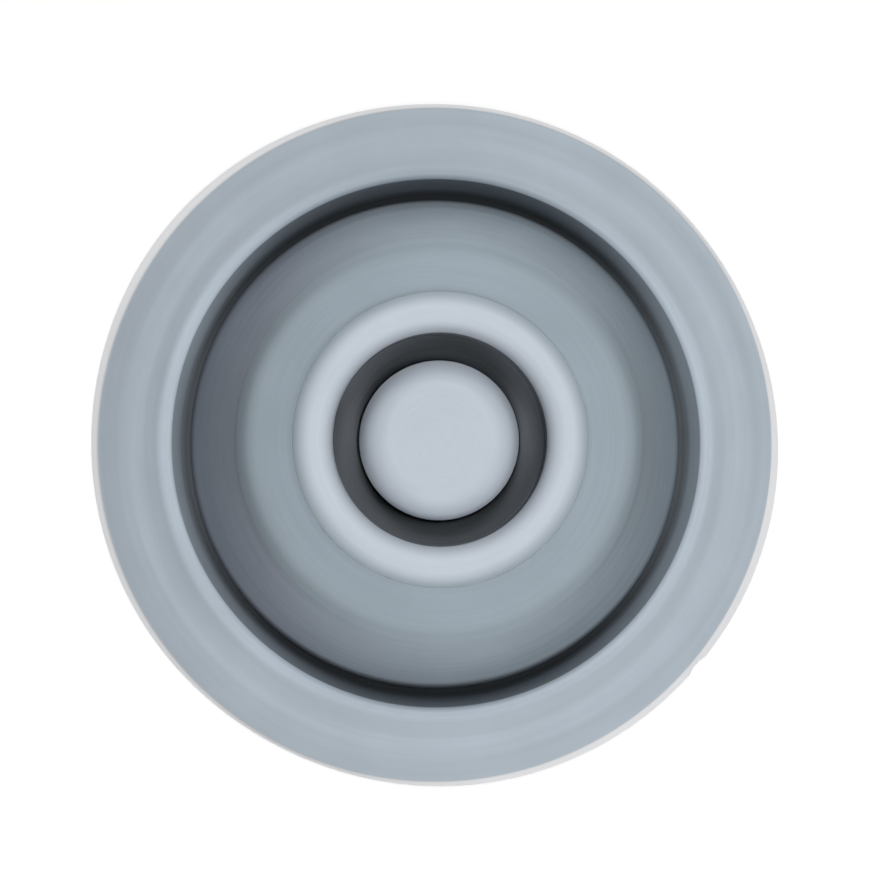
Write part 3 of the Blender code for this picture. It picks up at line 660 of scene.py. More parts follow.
# %% Button
BUTTON_FLAT = 8.9 * MM
BUTTON_EDGE_DROP = 5.4 * MM
BUTTON_KNOTS = [(0.0, 0.03), (0.4, 0.08), (0.9, 0.24), (1.45, 0.40), (2.0, 0.50), (2.55, 0.63), (3.1, 0.80),
                (3.65, 1.0), (4.2, 1.3), (4.75, 1.85), (5.2, 2.8), (5.6, 3.6)]
BUTTON_CROWN = 0.15 * MM
BUTTON_WALL = 1.6 * MM
BUTTON_FOOT_EASE = 0.3 * MM
SOCKET_DEPTH = 3.0 * MM
SOCKET_RADIUS = 4.2 * MM


def button_outline():
    """Slightly crowned top, rolled edge, upright skirt, and the hollow underside with its socket. The
    crown falls by its height times the square of r over the flat's radius."""
    flat_z = button.high - BUTTON_CROWN
    edge_z = flat_z - BUTTON_EDGE_DROP
    r = np.linspace(0.0, BUTTON_FLAT, 16)[:-1]
    crown = free(r, button.high - BUTTON_CROWN * (r / BUTTON_FLAT) ** 2)
    knots = reaching(BUTTON_KNOTS, button.outer - BUTTON_FLAT)
    roll = slope_run((BUTTON_FLAT, flat_z), 1, knots, BUTTON_EDGE_DROP, 64)
    ceiling = button.high - BUTTON_WALL
    inner_r, bore = button.outer - BUTTON_WALL, stem.outer + SEAT_GAP
    socket_z = ceiling - SOCKET_DEPTH
    foot = corners((button.outer, button.low), (inner_r, button.low), (inner_r, edge_z),
                   ease=BUTTON_FOOT_EASE)
    hollow = corners((BUTTON_FLAT, ceiling), (SOCKET_RADIUS, ceiling), (SOCKET_RADIUS, socket_z),
                     (bore, socket_z), (bore, ceiling), (0.0, ceiling))
    return eased(crown, roll, foot, hollow, closed=False)


button_piece = turned_solid("button", button_outline())
print("button:", len(button_piece.data.polygons), "faces")

# %% [markdown]
# The stem carries the push down to the seal. It is a turned rod with a shoulder, a groove for the
# clip and a chamfered tip. The clip that snaps into the groove is an open ring, so its section is
# carried along an arc that stops short of a full turn, and both ends are capped.

# %% Stem and clip
STEM_SHOULDER = 11.0 * MM
STEM_NECK = 1.7 * MM
STEM_CHAMFER = 0.4 * MM
GROOVE_EASE = 0.06 * MM
CLIP_SLACK = 0.15 * MM
CLIP_MOUTH = 2.0 * MM


def stem_outline():
    """Rod, shoulder, neck, clip groove and tip, from the top of the axis to its bottom."""
    groove_low, groove_high = clip.low - CLIP_SLACK, clip.high + CLIP_SLACK
    rod = corners((0.0, stem.high), (stem.outer, stem.high), (stem.outer, STEM_SHOULDER),
                  (STEM_NECK, STEM_SHOULDER))
    groove = corners((STEM_NECK, groove_high), (stem.inner, groove_high), (stem.inner, groove_low),
                     (STEM_NECK, groove_low), ease=GROOVE_EASE)
    tip = corners((STEM_NECK, stem.low + STEM_CHAMFER), (STEM_NECK - STEM_CHAMFER, stem.low), (0.0, stem.low))
    return eased(rod, groove, tip, closed=False)


def open_ring(name, outline, gap_angle, turns):
    """A closed outline carried round the axis from half a gap's angle to a full turn less that, capped."""
    angle = np.linspace(gap_angle / 2, 2 * np.pi - gap_angle / 2, turns)[None, :]
    r, z = outline[:, :1], outline[:, 1:]
    points = np.stack([r * np.cos(angle), r * np.sin(angle), z + 0.0 * angle], axis=-1).reshape(-1, 3)
    quads = grid_quads(len(outline), turns, ring=True)
    quads = quads.reshape(len(outline), turns, 4)[:, :-1].reshape(-1, 4)
    first = np.arange(len(outline)) * turns
    faces = quads.tolist() + [first[::-1].tolist(), (first + turns - 1).tolist()]
    return add_piece(name, points, faces)


stem_piece = turned_solid("stem", stem_outline(), SMALL_TURN)
clip_inner = stem.inner + SEAT_GAP
clip_gap = 2 * math.asin(CLIP_MOUTH / (clip_inner + clip.outer))
clip_rows = corners((clip_inner, clip.high), (clip.outer, clip.high), (clip.outer, clip.low),
                    (clip_inner, clip.low))
clip_piece = open_ring("clip", eased(clip_rows), clip_gap, SMALL_TURN)
clip_piece.data.set_sharp_from_angle(angle=SHARP_ANGLE)
print("stem and clip:", len(stem_piece.data.polygons), len(clip_piece.data.polygons), "faces")

# %% [markdown]
# The spring is wire wound on a helix. Real compression springs have their last turn at each end
# wound close, so that they stand square. The height is therefore not one straight line along the wire:
# it climbs slowly at both ends. The wire's round section is carried along that path and capped.

# %% Return spring
SPRING_CURLS = 6.5
END_CURLS = 0.75
END_RISE = 2.05
WIRE_SIDES = 14
WIRE_POINTS = 360


def spring_path(t):
    """Helix points for t from 0 to 1, and the wire's radius. The angle is 2 pi curls t, and the height climbs
    in three straight runs: a little over one wire's width in each end turn, and the rest between them."""
    wire = (spring.outer - spring.inner) / 2
    climb = spring.high - spring.low - 2 * wire
    flat = END_CURLS / SPRING_CURLS
    end_rise = wire * END_RISE
    z = np.interp(t, [0.0, flat, 1 - flat, 1.0], [0.0, end_rise, climb - end_rise, climb])
    angle = 2 * np.pi * SPRING_CURLS * t
    r = (spring.outer + spring.inner) / 2
    return np.stack([r * np.cos(angle), r * np.sin(angle), spring.low + wire + z], axis=-1), wire


def wound_wire(name):
    """Circle of radius w carried along the path p: p + w (cos f n + sin f b), where n points out from the
    axis and b is square to it and to the path."""
    path, wire = spring_path(np.linspace(0.0, 1.0, WIRE_POINTS))
    along = np.gradient(path, axis=0)
    along /= np.linalg.norm(along, axis=1, keepdims=True)
    out = path * np.array([1.0, 1.0, 0.0])
    out /= np.linalg.norm(out, axis=1, keepdims=True)
    side = np.cross(along, out)
    f = np.linspace(0.0, 2 * np.pi, WIRE_SIDES, endpoint=False)[None, :, None]
    tube = path[:, None] + wire * (np.cos(f) * out[:, None] + np.sin(f) * side[:, None])
    quads = grid_quads(WIRE_POINTS, WIRE_SIDES, ring=False)
    first = np.arange(WIRE_SIDES)
    caps = [first.tolist(), (first[::-1] + (WIRE_POINTS - 1) * WIRE_SIDES).tolist()]
    return add_piece(name, tube.reshape(-1, 3), quads.tolist() + caps)


spring_piece = wound_wire("spring_coil")
spring_piece.data.set_sharp_from_angle(angle=SHARP_ANGLE)
print("spring:", SPRING_CURLS, "curls,", len(spring_piece.data.polygons), "faces")

# %% [markdown]
# Six slotted pan-head screws hold the base plate, heads down. They could be copies of one mesh, but
# hand-driven screws stop at different turns. So each is turned on the axis, its slot is cut at its own
# angle, and its points are then moved to its place.

# %% Base screws
SCREW_RADIUS = 1.2 * MM
SCREW_PITCH = 0.8 * MM
SCREW_THREAD = 0.2 * MM
HEAD_RADIUS = 2.6 * MM
HEAD_HEIGHT = 1.3 * MM
HEAD_EDGE = 0.45
HEAD_PULL = 0.85
BELLY_PULL = 0.55
SLOT_WIDTH = 0.7 * MM
SLOT_DEPTH = 0.6 * MM
SLOT_TURNS = np.radians([12.0, 71.0, 38.0, 104.0, 150.0, 83.0])
TIP_SHARE = 0.4
TIP_EASE = 0.05 * MM
HEAD_EASE = 0.1 * MM
SHANK_START = 0.3 * MM
screw_low, screw_high = (corner.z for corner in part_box("base_screw_1"))
head_z = screw_low + HEAD_HEIGHT
screw_thread = thread_on(SCREW_RADIUS, SCREW_PITCH, SCREW_THREAD, head_z + SHANK_START, screw_high)


def screw_outline():
    """Tip, threaded shank, and a pan head whose lower face bellies out, from top to bottom."""
    tip = corners((0.0, screw_high), (TIP_SHARE * SCREW_RADIUS, screw_high), ease=TIP_EASE)
    shank = free(SCREW_RADIUS, np.linspace(screw_high - SCREW_RADIUS, head_z + HEAD_EASE, 90))
    under = corners((SCREW_RADIUS, head_z), (HEAD_RADIUS, head_z), ease=HEAD_EASE)
    belly = curve((HEAD_RADIUS, head_z - HEAD_EDGE * HEAD_HEIGHT),
                  (HEAD_RADIUS, head_z - HEAD_PULL * HEAD_HEIGHT),
                  (BELLY_PULL * HEAD_RADIUS, screw_low), (0.0, screw_low), 16)
    return eased(tip, shank, under, belly, closed=False)


def slot_tool(name, turn):
    """A long block across the head: the eight points (+-l, +-w, +-d) turned about the axis."""
    signs = np.array(np.meshgrid([-1, 1], [-1, 1], [-1, 1], indexing="ij")).reshape(3, -1).T
    x, y, z = (signs * np.array([2 * HEAD_RADIUS, SLOT_WIDTH / 2, SLOT_DEPTH])).T
    turned_x, turned_y = x * np.cos(turn) - y * np.sin(turn), x * np.sin(turn) + y * np.cos(turn)
    points = np.stack([turned_x, turned_y, z + screw_low], axis=-1)
    faces = [[0, 1, 3, 2], [4, 6, 7, 5], [0, 4, 5, 1], [2, 3, 7, 6], [0, 2, 6, 4], [1, 5, 7, 3]]
    return add_piece(name, points, faces)


screw_pieces = []
for number, (place, turn) in enumerate(zip(SCREW_PLACES, SLOT_TURNS), start=1):
    screw = turned_solid(f"screw_{number}", screw_outline(), POST_TURN, reshape=screw_thread)
    combine(screw, [slot_tool(f"slot_{number}", turn)], "DIFFERENCE")
    points = np.empty(len(screw.data.vertices) * 3)
    screw.data.vertices.foreach_get("co", points)
    screw.data.vertices.foreach_set("co", (points.reshape(-1, 3) + np.array([*place, 0.0])).ravel())
    screw.data.update()
    screw_pieces.append(screw)
print("screws:", len(screw_pieces), "with", len(screw_pieces[0].data.polygons), "faces each")

# %% [markdown]
# Now the finishes. Every one starts from a Principled shader, and its colour, roughness and bump
# come from noise on Object coordinates, so that a pattern stays where it is on the piece from any
# side. Small helpers keep the node code short: each adds one kind of node and returns its result.

# %% Node helpers
def new_material(name):
    """A material with its node tree and its Principled shader."""
    material = bpy.data.materials.new(name)
    material.use_nodes = True
    return material, material.node_tree, material.node_tree.nodes["Principled BSDF"]


def add_node(tree, kind, inputs, **settings):
    """Add a node, and set each input to a value or link it to another node's output."""
    made = tree.nodes.new(kind)
    for key, value in settings.items():
        setattr(made, key, value)
    for key, value in inputs.items():
        if isinstance(value, bpy.types.NodeSocket):
            tree.links.new(value, made.inputs[key])
        else:
            made.inputs[key].default_value = value
    return made


def plug(tree, node, links):
    """Link results to a node's inputs by name."""
    for key, result in links.items():
        tree.links.new(result, node.inputs[key])


def number_math(tree, operation, one, other):
    """Two numbers added, multiplied or compared."""
    return add_node(tree, "ShaderNodeMath", {0: one, 1: other}, operation=operation).outputs[0]


def vector_math(tree, operation, *parts):
    """The same for vectors and tints, part by part."""
    return add_node(tree, "ShaderNodeVectorMath", dict(enumerate(parts)), operation=operation).outputs[0]


print("Blender", bpy.app.version_string)

# %% Colour, range, bump and noise
def blend(tree, share, first, second):
    """A colour between two others: first (1 - share) + second share."""
    inputs = {"Factor": share, "A": first, "B": second}
    return add_node(tree, "ShaderNodeMix", inputs, data_type="RGBA").outputs["Result"]


def ranged(tree, value, low, high):
    """A value from 0 to 1 stretched to run from low to high: low + value (high - low)."""
    inputs = {"Value": value, "To Min": low, "To Max": high}
    return add_node(tree, "ShaderNodeMapRange", inputs).outputs[0]


def fade(tree, along, low, high, share, full=1.0):
    """A factor that changes smoothly from a share to full between two places along a coordinate."""
    inputs = {"Value": along, "From Min": low, "From Max": high, "To Min": share, "To Max": full}
    return add_node(tree, "ShaderNodeMapRange", inputs, interpolation_type="SMOOTHSTEP").outputs[0]


def bump(tree, height, depth, **under):
    """A normal that follows a height pattern, on top of another normal if there is one."""
    inputs = {"Height": height, "Strength": 1.0, "Distance": depth, **under}
    return add_node(tree, "ShaderNodeBump", inputs).outputs[0]


def noise(tree, coordinates, size, detail):
    """Noise whose blobs are about that size, from 0 to 1."""
    inputs = {"Vector": coordinates, "Scale": 1.0 / size, "Detail": detail}
    return add_node(tree, "ShaderNodeTexNoise", inputs).outputs["Fac"]


def tone(colour, share):
    """A colour made lighter or darker by a share, with full alpha."""
    return tuple(min(1.0, c * share) for c in colour) + (1.0,)


print("a tone 10% lighter than 0.5:", tone((0.5, 0.5, 0.5), 1.1))

# %% [markdown]
# The moulded pieces show fine rings round the axis, left by the turned mould. A wave texture would
# space them evenly, which looks printed. Noise read along the radius is uneven, as tool marks are:
# its third coordinate is radius plus height over the marks' pitch, and its first two go slowly round
# the circle, so that each ring also fades in and out.

# %% Turning marks
def flat_of(tree, place):
    """A place with its height set to nothing."""
    return vector_math(tree, "MULTIPLY", place, (1.0, 1.0, 0.0))


def radius_of(tree, place):
    """Distance from the Z axis: the length of the flat place."""
    flat = flat_of(tree, place)
    return add_node(tree, "ShaderNodeVectorMath", {0: flat}, operation="LENGTH").outputs["Value"]


def way_of(tree, place):
    """The direction from the Z axis: (cos a, sin a, 0)."""
    return vector_math(tree, "NORMALIZE", flat_of(tree, place))


def part_of(tree, place, axis):
    """One coordinate of a place."""
    return add_node(tree, "ShaderNodeSeparateXYZ", {0: place}).outputs[axis]


def turning_marks(tree, place, pitch):
    """Noise at (cos a, sin a, (r + z) / pitch): rings about the axis that change slowly round the turn."""
    along = number_math(tree, "ADD", radius_of(tree, place), part_of(tree, place, "Z"))
    count = number_math(tree, "MULTIPLY", along, 1.0 / pitch)
    up = add_node(tree, "ShaderNodeCombineXYZ", {"Z": count}).outputs[0]
    return noise(tree, vector_math(tree, "ADD", way_of(tree, place), up), 1.0, 2.0)


print("turning marks follow r + z")

# %% [markdown]
# One recipe serves all the mouldings, because plastic, silicone and rubber differ only in numbers:
# colour, roughness, how far apart and how deep the marks and the grain are, how much the colour drifts,
# and how strong the gloss is. A named tuple holds these for each finish, so that two can be compared.

# %% Moulded finish
CLOUD_SIZE = 14 * MM
CLOUD_RANGE = (0.6, 1.4)
SHEEN_SPREAD = 0.06
MOULD_FIELDS = "roughness marks marks_depth grain grain_depth spread gloss"
Mould = namedtuple("Mould", MOULD_FIELDS, defaults=(0.04, 0.2))


def moulded(name, colour, mould, painted_shading=None):
    """Moulded plastic, silicone or rubber. Its colour drifts with broad clouds and turning marks, its
    roughness with the clouds, and its bump adds fine grain to the marks. The last argument, if given, is a
    function of (tree, place) that returns painted light and shade as a tint that multiplies the colour."""
    material, tree, shader = new_material(name)
    shader.inputs["Specular IOR Level"].default_value = mould.gloss
    place = add_node(tree, "ShaderNodeTexCoord", {}).outputs["Object"]
    clouds = noise(tree, place, CLOUD_SIZE, 3.0)
    lines = turning_marks(tree, place, mould.marks)
    specks = noise(tree, place, mould.grain, 2.0)
    drift = {"Value": number_math(tree, "ADD", clouds, lines)}
    drift["From Min"], drift["From Max"] = CLOUD_RANGE
    share = add_node(tree, "ShaderNodeMapRange", drift).outputs[0]
    shade = blend(tree, share, tone(colour, 1 - mould.spread), tone(colour, 1 + mould.spread))
    # Painted light and shade multiply the colour here, where a piece has them.
    if painted_shading:
        shade = vector_math(tree, "MULTIPLY", shade, painted_shading(tree, place))
    sheen = ranged(tree, clouds, mould.roughness - SHEEN_SPREAD, mould.roughness + SHEEN_SPREAD)
    skin = bump(tree, specks, mould.grain_depth, Normal=bump(tree, lines, mould.marks_depth))
    plug(tree, shader, {"Base Color": shade, "Roughness": sheen, "Normal": skin})
    return material


print("each moulded finish gives", MOULD_FIELDS)

# %% [markdown]
# Painted light and shade show on the pieces: painted shade in the groove and corners, a drum that is darker
# and more purple on one side, and painted light and shade that differ at the front and back. A picture could
# be wrapped round for that, but factors by radius, height and angle need no unwrapping. The painted light and
# shade at the front and back is a part of its own that can be taken out.

# %% Painted light and shade
# The span along X over which the painted side shade fades out.
SIDE_SHADE_SPAN = (-36 * MM, 2 * MM)
NO_TINT = (1.0, 1.0, 1.0, 1.0)


def painted_tint(tree, tint, unshaded_share):
    """A painted shade tint where the factor is 0, and no tint where it is 1."""
    return blend(tree, unshaded_share, tint, NO_TINT)


def front_share(tree, place):
    """The square of the sine of the angle round the axis: 0 on the sides along X, 1 at the front and back."""
    sine = part_of(tree, way_of(tree, place), "Y")
    return number_math(tree, "MULTIPLY", sine, sine)


def side_shade(tree, place, tint):
    """A painted shade by place: the plastic is tinted darker towards the side of least X."""
    return painted_tint(tree, tint, fade(tree, part_of(tree, place, "X"), *SIDE_SHADE_SPAN, 0.0))


def painted_front_shading(tree, place, low, high, flank, foot, top):
    """Painted light and shade, even on the two flanks along X, and going from foot to top between two heights
    on the front and back: flank + s (ramp - flank), where s is the front share."""
    ramp = fade(tree, part_of(tree, place, "Z"), low, high, foot, top)
    return ranged(tree, front_share(tree, place), flank, ramp)


# The shaded side is painted shade, darker towards least X.
print("the aged side fades out over", round((SIDE_SHADE_SPAN[1] - SIDE_SHADE_SPAN[0]) / MM), "mm")

# %% [markdown]
# Three greys can be told apart, and the skirt's is the middle one, a blue-grey silicone. Its thin lip
# lets light through and looks nearly white. Real translucence would need many more samples for a lip
# this thin, so its faces get a paler material of their own, which starts at the flange's grey.

# %% Skirt and lip finishes
SKIRT_COLOUR = (0.470, 0.535, 0.600)
SKIRT_MOULD = Mould(0.70, 0.55 * MM, 0.003 * MM, 0.16 * MM, 0.002 * MM, spread=0.07)
# Painted shade in the groove: its floor and wall are darkened, the wall more at the front and back.
GROOVE_FLOOR_SHADE, FLOOR_SHADE_IN, FLOOR_SHADE_OUT = 0.25, 0.4 * MM, 0.9 * MM
WALL_SHADE, WALL_IN, WALL_OUT = (0.58, 0.36), 0.08 * MM, 0.06 * MM
SHADE_LEVELS = (0.4 * MM, 1.0 * MM)
# Painted light: the lip's pale colour stands in for light through the thin silicone.
LIP_GLOW_COLOUR = (0.825, 0.832, 0.848)
LIP_MOULD = Mould(0.65, 0.30 * MM, 0.002 * MM, 0.16 * MM, 0.002 * MM)
LIP_SHADE, LIP_IN, LIP_OUT = 0.68, 0.10 * MM, 0.45 * MM


def groove_painted_shade(tree, place):
    """Painted shade by radius: dark on the groove's floor, dimmed up its wall, and none from the bead
    outwards and below. The wall's painted shade changes with the front share."""
    radius = radius_of(tree, place)
    floor_part = fade(tree, radius, groove_r - FLOOR_SHADE_IN, groove_r + FLOOR_SHADE_OUT, GROOVE_FLOOR_SHADE)
    wall_darkness = fade(tree, front_share(tree, place), 0.0, 1.0, *WALL_SHADE)
    wall_part = fade(tree, radius, groove_edge_r - WALL_IN, groove_edge_r + WALL_OUT, wall_darkness)
    painted_dark = vector_math(tree, "MULTIPLY", floor_part, wall_part)
    return fade(tree, part_of(tree, place, "Z"), *SHADE_LEVELS, 1.0, painted_dark)


def lip_painted_glow(tree, place):
    """Painted light by radius: the feather lip is as grey as the flange at its root and pales outwards as it
    thins, for the light that comes through it.
    """
    return fade(tree, radius_of(tree, place), flange_r - LIP_IN, flange_r + LIP_OUT, LIP_SHADE)


skirt_silicone = moulded("skirt_silicone", SKIRT_COLOUR, SKIRT_MOULD, groove_painted_shade)
lip_silicone = moulded("lip_silicone", LIP_GLOW_COLOUR, LIP_MOULD, lip_painted_glow)
print("silicone:", [len(m.node_tree.nodes) for m in (skirt_silicone, lip_silicone)], "nodes")

# %% [markdown]
# The drum and the cover are a darker, matt plastic. They are nearly the same grey, and the drum's steep wall
# has drifted more in colour. It also has painted shade where it dips into the groove.

# %% Drum and cover finishes
DRUM_COLOUR = (0.328, 0.388, 0.440)
DRUM_MOULD = Mould(0.68, 0.60 * MM, 0.003 * MM, 0.14 * MM, 0.002 * MM, spread=0.09)
# Painted shade: the drum is tinted darker and more purple towards the side of least X.
DRUM_SIDE_SHADE = (1.000, 0.945, 0.980, 1.0)
# Painted light and shade on the drum: darker on the flanks, and at the front and back darker at the foot and
# lighter towards the deck.
DRUM_FRONT_SHADING, DRUM_FRONT_SHADING_FOOT = (0.89, 0.81, 1.16), 2.0 * MM
# Painted shade at the drum's foot, where it dips into the groove.
FOOT_SHADE, FOOT_SHADE_LOW, FOOT_SHADE_HIGH = 0.2, -1.0 * MM, 3.0 * MM
COVER_COLOUR = (0.334, 0.397, 0.446)
COVER_MOULD = DRUM_MOULD._replace(spread=0.06)
# Painted shade: the cover is tinted darker towards the side of least X.
COVER_SIDE_SHADE = (0.915, 0.915, 0.920, 1.0)
# Painted light on the cover: paler where its edge rolls over at the front and back.
COVER_FRONT_SHADING, COVER_FRONT_SHADING_FOOT, COVER_FRONT_SHADING_TOP = (0.97, 1.20, 1.0), 1.5 * MM, 0.6 * MM


def drum_painted_shading(tree, place):
    """The drum's painted light and shade: shade at its foot, light and shade at the front and back that grow
    lighter towards the deck, and shade on one side.
    """
    height = part_of(tree, place, "Z")
    foot = fade(tree, height, drum.low + FOOT_SHADE_LOW, drum.low + FOOT_SHADE_HIGH, FOOT_SHADE)
    front_shading = painted_front_shading(tree, place, drum.low + DRUM_FRONT_SHADING_FOOT, drum.high, *DRUM_FRONT_SHADING)
    shadier = vector_math(tree, "MULTIPLY", side_shade(tree, place, DRUM_SIDE_SHADE), front_shading)
    return vector_math(tree, "MULTIPLY", shadier, foot)


def cover_painted_shading(tree, place):
    """The cover's painted light and shade: shade on one side, and paler where its edge rolls over at the
    front and back.
    """
    front_shading = painted_front_shading(tree, place, cover.low + COVER_FRONT_SHADING_FOOT, cover.high - COVER_FRONT_SHADING_TOP, *COVER_FRONT_SHADING)
    return vector_math(tree, "MULTIPLY", side_shade(tree, place, COVER_SIDE_SHADE), front_shading)


drum_plastic = moulded("drum_plastic", DRUM_COLOUR, DRUM_MOULD, drum_painted_shading)
cover_plastic = moulded("cover_plastic", COVER_COLOUR, COVER_MOULD, cover_painted_shading)
print("drum and cover:", [len(m.node_tree.nodes) for m in (drum_plastic, cover_plastic)], "nodes")

# %% [markdown]
# The ring and the button are the palest grey, and a little smoother, as pieces that are touched often are.
# Painted shade darkens the corner where the ring meets the cover, and the ring's inner edge by the well.

# %% Bezel and button finishes
BEZEL_COLOUR = (0.560, 0.614, 0.683)
BUTTON_COLOUR = (0.527, 0.579, 0.646)
PALE_MOULD = Mould(0.54, 0.50 * MM, 0.002 * MM, 0.14 * MM, 0.0015 * MM, gloss=0.38)
# Painted shade: darker where the ring meets the cover and at its inner edge by the well.
RIM_SHADE_TINT, RIM_REACH = (0.720, 0.760, 0.755, 1.0), 2.8 * MM
WELL_EDGE_SHADE, WELL_EDGE_REACH = 0.76, 2.2 * MM


def rim_painted_shade(tree, place):
    """Painted shade by radius on the bezel: darker where the ring meets the cover, and a little at the well.
    """
    radius = radius_of(tree, place)
    cover_corner = fade(tree, radius, bezel.outer + SEAT_GAP, bezel.outer - RIM_REACH, 0.0)
    well_edge = fade(tree, radius, bezel.inner, bezel.inner + WELL_EDGE_REACH, WELL_EDGE_SHADE)
    return vector_math(tree, "MULTIPLY", painted_tint(tree, RIM_SHADE_TINT, cover_corner), well_edge)


bezel_plastic = moulded("bezel_plastic", BEZEL_COLOUR, PALE_MOULD, rim_painted_shade)
button_plastic = moulded("button_plastic", BUTTON_COLOUR, PALE_MOULD)
print("bezel and button:", [len(m.node_tree.nodes) for m in (bezel_plastic, button_plastic)], "nodes")

# %% [markdown]
# The base plate, nut and stem are dark plastic with the fine spark grain that hides scuffs under a fitting.
# The seal is black rubber with a dusty bloom, and the ballast is near-black, painted shade that keeps the gap
# round the button dark. All are the same recipe, only with a coarser bump and a colour that drifts more.

# %% Dark plastic, rubber and the ballast's painted shade
DARK_COLOUR = (0.075, 0.083, 0.092)
INNER_TONE = 1.42
RUBBER_COLOUR = (0.022, 0.022, 0.023)
# Painted shade: the ballast's near-black keeps the gap round the button dark.
BALLAST_SHADE_COLOUR = (0.036, 0.037, 0.040)
BASE_MOULD = Mould(0.55, 0.9 * MM, 0.003 * MM, 0.22 * MM, 0.012 * MM, spread=0.20)
INNER_MOULD = Mould(0.55, 0.5 * MM, 0.004 * MM, 0.15 * MM, 0.003 * MM, spread=0.15)
RUBBER_MOULD = Mould(0.70, 0.4 * MM, 0.002 * MM, 0.10 * MM, 0.008 * MM, spread=0.35)
BALLAST_MOULD = Mould(0.60, 0.8 * MM, 0.002 * MM, 0.30 * MM, 0.006 * MM, spread=0.25)

base_plastic = moulded("base_plastic", DARK_COLOUR, BASE_MOULD)
inner_plastic = moulded("inner_plastic", tone(DARK_COLOUR, INNER_TONE)[:3], INNER_MOULD)
seal_rubber = moulded("seal_rubber", RUBBER_COLOUR, RUBBER_MOULD)
# The ballast is coloured near-black as painted shade, so the gap round the button stays dark.
coated_steel = moulded("coated_steel", BALLAST_SHADE_COLOUR, BALLAST_MOULD)
print("dark finishes:", [m.name for m in (base_plastic, inner_plastic, seal_rubber, coated_steel)])

# %% [markdown]
# The steel pieces are plain stainless. Metal shows its finish through its reflections, so the detail
# is in the roughness and the bump: fine marks round the axis, and faint water stains in the colour.

# %% Stainless steel
STEEL_COLOUR = (0.60, 0.605, 0.615)
STEEL_STAINS, STEEL_STAIN_SIZE = (0.85, 1.12), 4 * MM
STEEL_ROUGHNESS = (0.24, 0.44)
STEEL_MARKS, STEEL_MARKS_DEPTH = 0.12 * MM, 0.003 * MM


def stainless(name):
    """Metal with turning marks in its bump and roughness, and broad faint stains in its colour."""
    material, tree, shader = new_material(name)
    shader.inputs["Metallic"].default_value = 1.0
    place = add_node(tree, "ShaderNodeTexCoord", {}).outputs["Object"]
    lines = turning_marks(tree, place, STEEL_MARKS)
    stains = noise(tree, place, STEEL_STAIN_SIZE, 4.0)
    tint = blend(tree, stains, *(tone(STEEL_COLOUR, share) for share in STEEL_STAINS))
    dull = ranged(tree, lines, *STEEL_ROUGHNESS)
    ridges = bump(tree, lines, STEEL_MARKS_DEPTH)
    plug(tree, shader, {"Base Color": tint, "Roughness": dull, "Normal": ridges})
    return material


steel = stainless("steel")
print("steel:", len(steel.node_tree.nodes), "nodes")

# %% [markdown]
# Each piece now gets its finish and the body it moves with, and the frame's node that it stands for is
# hidden. A table keeps these together with the record's material slot, so that a slip is easy to see. The
# lip's faces are the rows of the skirt's grid that lie outside the flange's edge.

# %% Fit the pieces to the frame
PIECES = [
    (skirt_piece, skirt_silicone, "stopper", "sealing_skirt", "skirt_silicone"),
    (drum_piece, drum_plastic, "stopper", "bell_shell", "drum_plastic"),
    (cover_piece, cover_plastic, "stopper", "top_plate", "cover_plastic"),
    (bezel_piece, bezel_plastic, "stopper", "button_bezel", "bezel_plastic"),
    (guide_piece, inner_plastic, "stopper", "button_guide", "inner_plastic"),
    (nut_piece, inner_plastic, "stopper", "bezel_nut", "inner_plastic"),
    (base_piece, base_plastic, "stopper", "base_plate", "base_plastic"),
    (ballast_piece, coated_steel, "stopper", "ballast_ring", "coated_steel"),
    (seat_piece, steel, "stopper", "spring_seat", "steel"),
    (spring_piece, steel, "stopper", "return_spring", "steel"),
    (button_piece, button_plastic, "button", "push_button", "button_plastic"),
    (stem_piece, inner_plastic, "button", "vent_stem", "inner_plastic"),
    (seal_piece, seal_rubber, "button", "vent_seal", "seal_rubber"),
    (washer_piece, steel, "button", "seal_washer", "steel"),
    (clip_piece, steel, "button", "stem_clip", "steel"),
]
PIECES += [(screw, steel, "stopper", f"base_screw_{n}", "steel")
           for n, screw in enumerate(screw_pieces, start=1)]

for piece, finish, body, node, slot in PIECES:
    piece.data.materials.clear()
    piece.data.materials.append(finish)
    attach(piece, body)
    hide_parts(node)

skirt_piece.data.materials.append(lip_silicone)
outer_row = skirt_points[:, 0] > flange_r + LIP_FACES
lip_rows = outer_row & np.roll(outer_row, -1)
skirt_piece.data.polygons.foreach_set("material_index", np.repeat(lip_rows, FINE_TURN).astype(np.int32))
print(len(PIECES), "pieces fitted;", int(lip_rows.sum()), "rows of the skirt are lip")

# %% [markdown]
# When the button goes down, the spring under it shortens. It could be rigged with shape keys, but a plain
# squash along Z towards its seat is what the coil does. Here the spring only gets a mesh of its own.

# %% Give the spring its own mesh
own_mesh(spring_piece)

# %% [markdown]
# The stage is a plain white floor. Lit only by the lamps it would turn grey, and more light would
# bleach the object. So the camera sees a floor that also glows, through Light Path, and the lamps' own
# light on it still carries the shadow. The world is white to the camera and nearly dark to the object.

# %% Floor and world
FLOOR_SIZE = 8.0
FLOOR_DROP = 0.2 * MM
FLOOR_COLOUR = (0.20, 0.20, 0.20, 1.0)
FLOOR_GLOW = 0.83
FLOOR_ROUGHNESS = 0.9
WHITE = (1.0, 1.0, 1.0, 1.0)
WORLD_FILL = 0.02


def seen_directly(tree):
    """1 for camera, glossy and transmission rays, and 0 for the rays that light the object."""
    rays = add_node(tree, "ShaderNodeLightPath", {}).outputs
    mirrored = number_math(tree, "MAXIMUM", rays["Is Camera Ray"], rays["Is Glossy Ray"])
    return number_math(tree, "MAXIMUM", mirrored, rays["Is Transmission Ray"])


